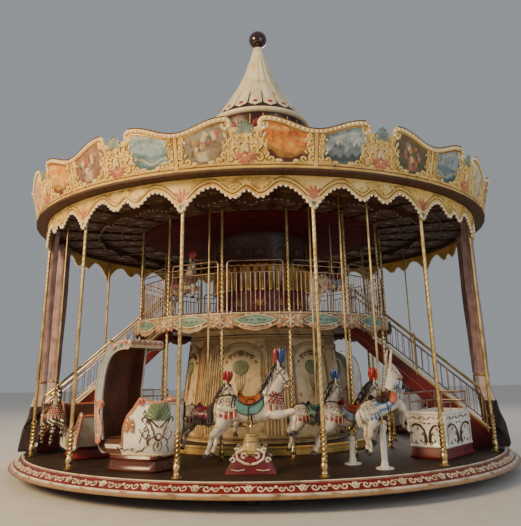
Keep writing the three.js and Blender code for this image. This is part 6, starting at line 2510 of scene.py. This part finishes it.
def harnessForm(form, dress):
    red, white, bloom = linear(dress["harness"]), linear("#EDE4D2"), linear(dress["bloom"])

    def rose(point, tint, size=0.020):
        x, y, z = point
        form.add(ballShape((x, y * 1.03, z), (size, size * 0.8, size), 6, 4), tint)
        form.add(ballShape(
            (x + size * 0.25, y * 1.10, z + size * 0.2), (size * 0.5, size * 0.45, size * 0.5), 5, 3,
        ), tuple(c * 0.6 for c in tint))

    collar = ovalRows([(0.335, 0.115, 0.104, 0.172), (
        0.322, 0.070, 0.126, 0.190,
    ), (0.312, 0.025, 0.148, 0.205), (0.302, -0.020, 0.166, 0.220), (0.296, -0.060, 0.180, 0.228)], 40)
    front = [k % 40 for k in range(-1, 22)]
    for j, (row, tint, size) in enumerate(
        zip(collar, (red, white, red, white, linear(dress["leather"])), (0.010, 0.008, 0.008, 0.008, 0.011))
    ):
        form.add(tubeShape([row[k] for k in front], size, 6, flat=0.7), tint)
        for i, k in enumerate(front[1:-1]):
            if j < 4:
                rose(row[k], (white, red, bloom, red)[(i + j) % 4], 0.023 if (i + j) % 2 else 0.019)
    lowest = collar[4]
    tassels(form, [
        tuple(c * k for c, k in zip(lowest[i], (1.0, 1.04, 1.0))) for i in front[1:-1]
    ], [white, red, bloom], 0.10)
    for x0, reach in ((-0.28, 112), (-0.53, 98)):
        band = [wrap(x0 - 0.02 * math.sin(math.radians(a)) ** 2, a, 0.014) for a in spread(-reach, reach, 20)]
        form.add(tubeShape(band, 0.013, 6, flat=0.6), red if x0 < -0.4 else dress["leather"])
    draped(form, -0.555, -0.23, 92, 0.012, "#E6DCC8", None, 0.16)
    strap(form, [wrap(x, 0, 0.026) for x in spread(-0.58, -0.22, 5)], dress["leather"], 0.016)
    for side in (-1, 1):
        for x, a, size in (
            (-0.50, 44, 0.034), (-0.41, 40, 0.040), (-0.31, 44, 0.036), (-0.46, 66, 0.036),
            (-0.36, 64, 0.038), (-0.28, 68, 0.030), (-0.53, 68, 0.026),
        ):
            for k, reach in ((10, 1.0), (8, 0.55)):
                ring = [wrap(
                    x + size * reach * math.cos(t), side * (a + 300 * size * reach * math.sin(t)), 0.015,
                ) for t in turns(k)]
                form.add(tubeShape(
                    ring, 0.0055 if reach > 0.9 else 0.0045, 4, True,
                ), "#7D6E60" if reach > 0.9 else bloom)
        hem = [wrap(
            x, side * (92 * (1 - 0.16 * (2 * u - 1) ** 4)), 0.018,
        ) for u, x in zip(spread(0, 1, 12), spread(-0.555, -0.23, 12))]
        form.add(tubeShape(hem, 0.012, 5), red)
        for x, y, z in hem:
            form.add(ballShape((x, y * 1.05, z + 0.012), (0.014, 0.012, 0.014), 6, 4), white)
        tassels(form, [(x, y * 1.03, z - 0.012) for x, y, z in hem], [red, red, white], 0.125)
    girth = [wrap(0.02, a, 0.016) for a in spread(100, 260, 14)]
    form.add(tubeShape(girth, 0.016, 6, flat=0.5), "#2E211A")


def hoofForm(form, hanging):
    tint = "#2A211C"
    fore = (
        (0.335, -0.84, -0.105), (0.38, -0.79, 0.105),
    ) if hanging else ((0.685, -0.485, -0.105), (0.615, -0.53, 0.105))
    for x, z, y in (*fore, (-0.718, -0.815, -0.105), (-0.648, -0.815, 0.105)):
        rows = []
        for dz, r, dx in (
            (0.012, 0.036, -0.004), (-0.012, 0.045, 0.004), (-0.036, 0.052, 0.012), (-0.040, 0.040, 0.012),
        ):
            rows.append(
                [(x + dx + r * 1.12 * math.cos(t), y + r * 0.9 * math.sin(t), z + dz) for t in turns(12)]
            )
        form.add(loftShape(rows), tint)


dresses = {
    "front": {
        "saddle": "#A85A2C", "blanket": "#5F9290", "trim": "#3A2219", "mane": "#2B211C",
        "leather": "#2B1E18", "harness": "#A8322C", "bloom": "#E8C7B8", "plume": ["#B52F34", "#2F4F9A"],
    },
    "maroon": {
        "saddle": "#8C3A4A", "blanket": "#B56A7A", "trim": "#4A2028", "mane": "#3A2A22",
        "leather": "#33241C", "harness": "#9A2E38", "bloom": "#D9A8B0", "plume": ["#B52F34", "#C94A4A"],
    },
    "green": {
        "saddle": "#3E6E62", "blanket": "#7FA79A", "trim": "#22382F", "mane": "#2B211C",
        "leather": "#2B1E18", "harness": "#A8322C", "bloom": "#E9D9A8", "plume": ["#2F4F9A", "#5C7CC0"],
    },
    "blue": {
        "saddle": "#A8452C", "blanket": "#8CA6C4", "trim": "#7A2A20", "mane": "#2B211C",
        "leather": "#2B1E18", "harness": "#B5402E", "bloom": "#E9D9C8", "plume": ["#B5322A", "#C9442F"],
    },
    "donkey": {
        "saddle": "#4A2E22", "blanket": "#8FA6C8", "trim": "#2E1F18", "mane": "#C9C0B4",
        "leather": "#5A3A2A", "harness": "#5F7EB0", "bloom": "#E9E2D2", "plume": [],
    },
    "zebra": {
        "saddle": "#7A3A2A", "blanket": "#B9894E", "trim": "#3A2219", "mane": "#1E1816",
        "leather": "#3A2219", "harness": "#A8322C", "bloom": "#E8C7B8", "plume": [],
    },
}
herd = {  # angle, radius, kind of rod, dress, floor, size, saddle above the floor, degrees nose up
    "horse_front": (
        -0.2, 4.33, "stand", "front", 0.4, 1.0, 1.08, 0,
    ), "horse_rear": (179.8, 4.33, "stand", "front", 0.4, 1.0, 1.08, 0),
    "horse_right": (
        24.6, 3.95, "post", "blue", 0.4, 0.92, 0.886, -8,
    ), "donkey_right": (27, 4.62, "post", "donkey", 0.4, 0.8, 1.07, 20),
    "horse_far_right": (
        -155.4, 3.95, "post", "green", 0.4, 0.92, 0.886, -8,
    ), "donkey_far_right": (-153, 4.62, "post", "donkey", 0.4, 0.8, 1.07, 20),
    "horse_inner_right": (
        19.5, 3.28, "pole", "green", 0.4, 0.82, 0.886, 0,
    ), "horse_inner_left": (-15.5, 3.28, "pole", "maroon", 0.4, 0.82, 0.886, 0),
    "zebra_left": (
        -58.5, 4.68, "pole", "zebra", 0.4, 0.80, 0.864, 0,
    ), "zebra_far_left": (121.5, 4.68, "pole", "zebra", 0.4, 0.80, 0.864, 0),
    "horse_gallery_left": (
        -47, 2.3, "pole", "maroon", 2.965, 0.80, 0.864, 0,
    ), "horse_gallery_right": (44, 2.3, "pole", "blue", 2.965, 0.80, 0.864, 0),
}


def figureMesh(dressName):
    dress = dresses[dressName]
    ears = dressName == "donkey"
    body = carved[ears].copy()
    points = np.zeros(len(body.vertices) * 3, np.float32)
    body.vertices.foreach_get("co", points)
    points = points.reshape(-1, 3)
    tints = np.ones((len(points), 4), np.float32)
    tints[:, :3] = bodyColours(points, "striped" if dressName == "zebra" else "white")
    layer = body.color_attributes.get("tint") or body.color_attributes.new("tint", "FLOAT_COLOR", "POINT")
    layer.data.foreach_set("color", tints.ravel())
    body.materials.clear()
    body.materials.append(finishOf["tintedGloss"])
    body.polygons.foreach_set("material_index", [0] * len(body.polygons))
    body.polygons.foreach_set("use_smooth", [True] * len(body.polygons))
    form = Form(paint="tintedGloss")
    if ears:
        draped(form, -0.30, 0.24, 118, 0.018, (1, 1, 1), "#D9D2C2", 0.12)
        stripes = [linear("#6F8FBE") if (k // 2) % 2 else linear("#D9DCE0") for k in range(27)] * 15
        form.tints[:len(stripes)] = stripes
        form.tints[len(stripes):2 * len(stripes)] = stripes
        for side in (-1, 1):
            disc = [
                wrap(0.17 + 0.095 * math.cos(t), side * (64 + 30 * math.sin(t)), 0.034) for t in turns(20)
            ]
            centre = wrap(0.17, side * 64, 0.050)
            form.add(loftShape(
                [disc, [tuple(c + (p - c) * 0.1 for p, c in zip(q, centre)) for q in disc]]
            ), "#D9642E")
            form.add(tubeShape(disc, 0.010, 5, True), "#8A4A2A")
    else:
        draped(form, -0.25, 0.21, 104, 0.016, dress["blanket"], dress["trim"], 0.3, 0.004)
    saddleForm(form, dress)
    maneForm(form, dress)
    bridleForm(form, dress)
    plumeForm(form, dress)
    harnessForm(form, dress)
    hoofForm(form, ears)
    return together("figure", [body, form.mesh("dress")])


def camelName(name):
    first, *rest = name.split("_")
    return first + "".join(part.capitalize() for part in rest)


def rodForm(kind, low, high):
    form = Form()
    form.add(tubeShape([(0, 0, low), (0, 0, (low + high) / 2), (0, 0, high)], 0.0195, 12), "reededBrass")
    if kind != "stand":
        for z in (-0.01, 0.06, 0.30):
            form.add(ballShape((0, 0, z), (0.030, 0.030, 0.014), 10, 6), "reededBrass")
    return form.mesh("rod")


dressed = {name: figureMesh(name) for name in dresses}
for name, (angle, radius, kind, dressName, floor, size, rise, pitch) in herd.items():
    saddle = floor + rise
    figure = dressed[dressName].copy()
    figure.transform(Matrix.Rotation(-math.radians(pitch), 4, "Y") @ Matrix.Diagonal((size, size, size, 1)))
    high = -0.12 if kind == "stand" else 5.268 - saddle
    low = -0.13 if kind == "pole" else 0.165 - rise
    whole = together(name, [figure, rodForm(kind, low, high)])
    whole.transform(Matrix.Translation((0, 0, saddle)))
    seat(camelName(name), berthed(whole, angle, radius), name + "_body", (name,), 60)
print("figures ready")


# Stands and posts: a red trapezoid with white scrolls and a cream bell, or a flanged cream post
def standForm():
    form = Form(paint="tintedGloss")
    outline = [
        (-0.40, deckTop), (0.40, deckTop), (0.39, 0.43), (0.255, 0.66), (0.245, 0.68), (-0.245, 0.68),
        (-0.255, 0.66), (-0.39, 0.43),
    ]
    rows = []
    for y, k in ((-0.205, 0.96), (-0.195, 1.0), (0.195, 1.0), (0.205, 0.96)):
        rows.append([(x * k, y, deckTop + (z - deckTop) * (0.985 if k < 1 else 1)) for x, z in outline])
    form.add(loftShape(rows), "redEnamel")
    bell = [
        (0.0, 0.67), (0.225, 0.672), (0.23, 0.69), (0.20, 0.71), (0.205, 0.73), (0.15, 0.78), (0.122, 0.83),
        (0.125, 0.86), (0.105, 0.88), (0.11, 0.94), (0.105, 0.957), (0.0215, 0.957),
    ]
    form.add(turnedShape(bell, 36), "#C9B27A")
    for z, r in ((0.69, 0.232), (0.86, 0.128), (0.94, 0.112)):
        ring = [(r * math.cos(t), r * math.sin(t), z) for t in turns(28)]
        form.add(tubeShape(ring, 0.009, 5, True), "#8A7444")
    for k in range(12):
        form.add(leafShape(0, 0, 0.11, 0.05, 90), "#B39A5E", move=lambda x, y, lift, k=k: polar(
            0.20 - 0.085 * (y / 0.11) ** 0.7 + lift if y > 0 else 0.20 + lift,
            k * 30 + math.degrees(x / 0.18), 0.715 + y,
        ))
    pale = "#E9DFC8"
    for side in (-1, 1):
        for front in (-1, 1):
            for path, radius in (
                ([
                    (side * 0.10, 0.76), (side * 0.22, 0.72), (side * 0.20, 0.62), (side * 0.10, 0.56),
                    (side * 0.02, 0.545),
                ], 0.019),
                (spiral(side * 0.205, 0.735, 0.045, 0.012, 90 - side * 60, 90 + side * 210, 12), 0.016),
                (spiral(side * 0.10, 0.66, 0.055, 0.014, 90 + side * 90, 90 - side * 260, 12), 0.015),
                (spiral(side * 0.27, 0.60, 0.045, 0.012, 90 - side * 90, 90 + side * 260, 12), 0.014),
                ([(side * 0.09, 0.47), (side * 0.20, 0.455), (side * 0.30, 0.47)], 0.007),
            ):
                form.add(bead(
                    lifted(path, 0.008), radius, 6, 0.6,
                ), pale, move=lambda a, b, c, front=front: (a, front * (0.205 + c), b))
    for front in (-1, 1):
        form.add(ballShape((0, front * 0.207, 0.535), (0.022, 0.012, 0.022), 8, 6), "giltMetal")
    return form


def postForm(top):
    form = Form()
    profile = [
        (0.0, deckTop), (0.146, deckTop), (0.148, 0.418), (0.12, 0.428), (0.072, 0.44), (0.058, 0.46),
        (0.062, 0.48), (0.047, 0.52), (0.040, 0.58), (0.037, top - 0.16), (0.040, top - 0.08),
        (0.052, top - 0.055), (0.054, top - 0.03), (0.046, top - 0.015), (0.048, top), (0.0215, top),
    ]
    form.add(turnedShape(profile, 20), "fittedGlossWhite")
    for k in range(8):
        path = [polar(0.040, k * 45, z) for z in spread(0.54, top - 0.08, 4)]
        form.add(tubeShape(path, 0.010, 5), "fittedGlossWhite")
    for k in range(6):
        form.add(ballShape(polar(0.115, k * 60, 0.428), (0.012, 0.012, 0.008), 6, 4), "warmLitSteel")
    return form


standMesh = standForm().mesh("stand")
for name, (angle, radius, kind, _, floor, size, rise, _) in herd.items():
    if kind == "pole":
        continue
    mesh = standMesh if kind == "stand" else postForm(floor + rise - 0.36 * size - 0.118).mesh("post")
    seat(
        camelName(name) + kind.capitalize(), berthed(mesh, angle, radius), stands=(name + "_" + kind,),
    )
print("stands and posts ready")


# Finishes of the carried-over nodes
carried = {
    "ground_frame": "darkSteel", "centre_mast": "darkSteel", "platform_deck": "deckBoards",
    "ceiling": "ceilingBoards", "roof_cone": "tiltSheet", "upper_deck": "redEnamel",
    "drum_plinth": "deckBoards",
}
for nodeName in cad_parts:
    piece = bpy.data.objects[nodeName]
    piece.data.materials.clear()
    piece.data.materials.append(finishOf[carried.get(nodeName, "creamEnamel")])
print("carried-over nodes finished")
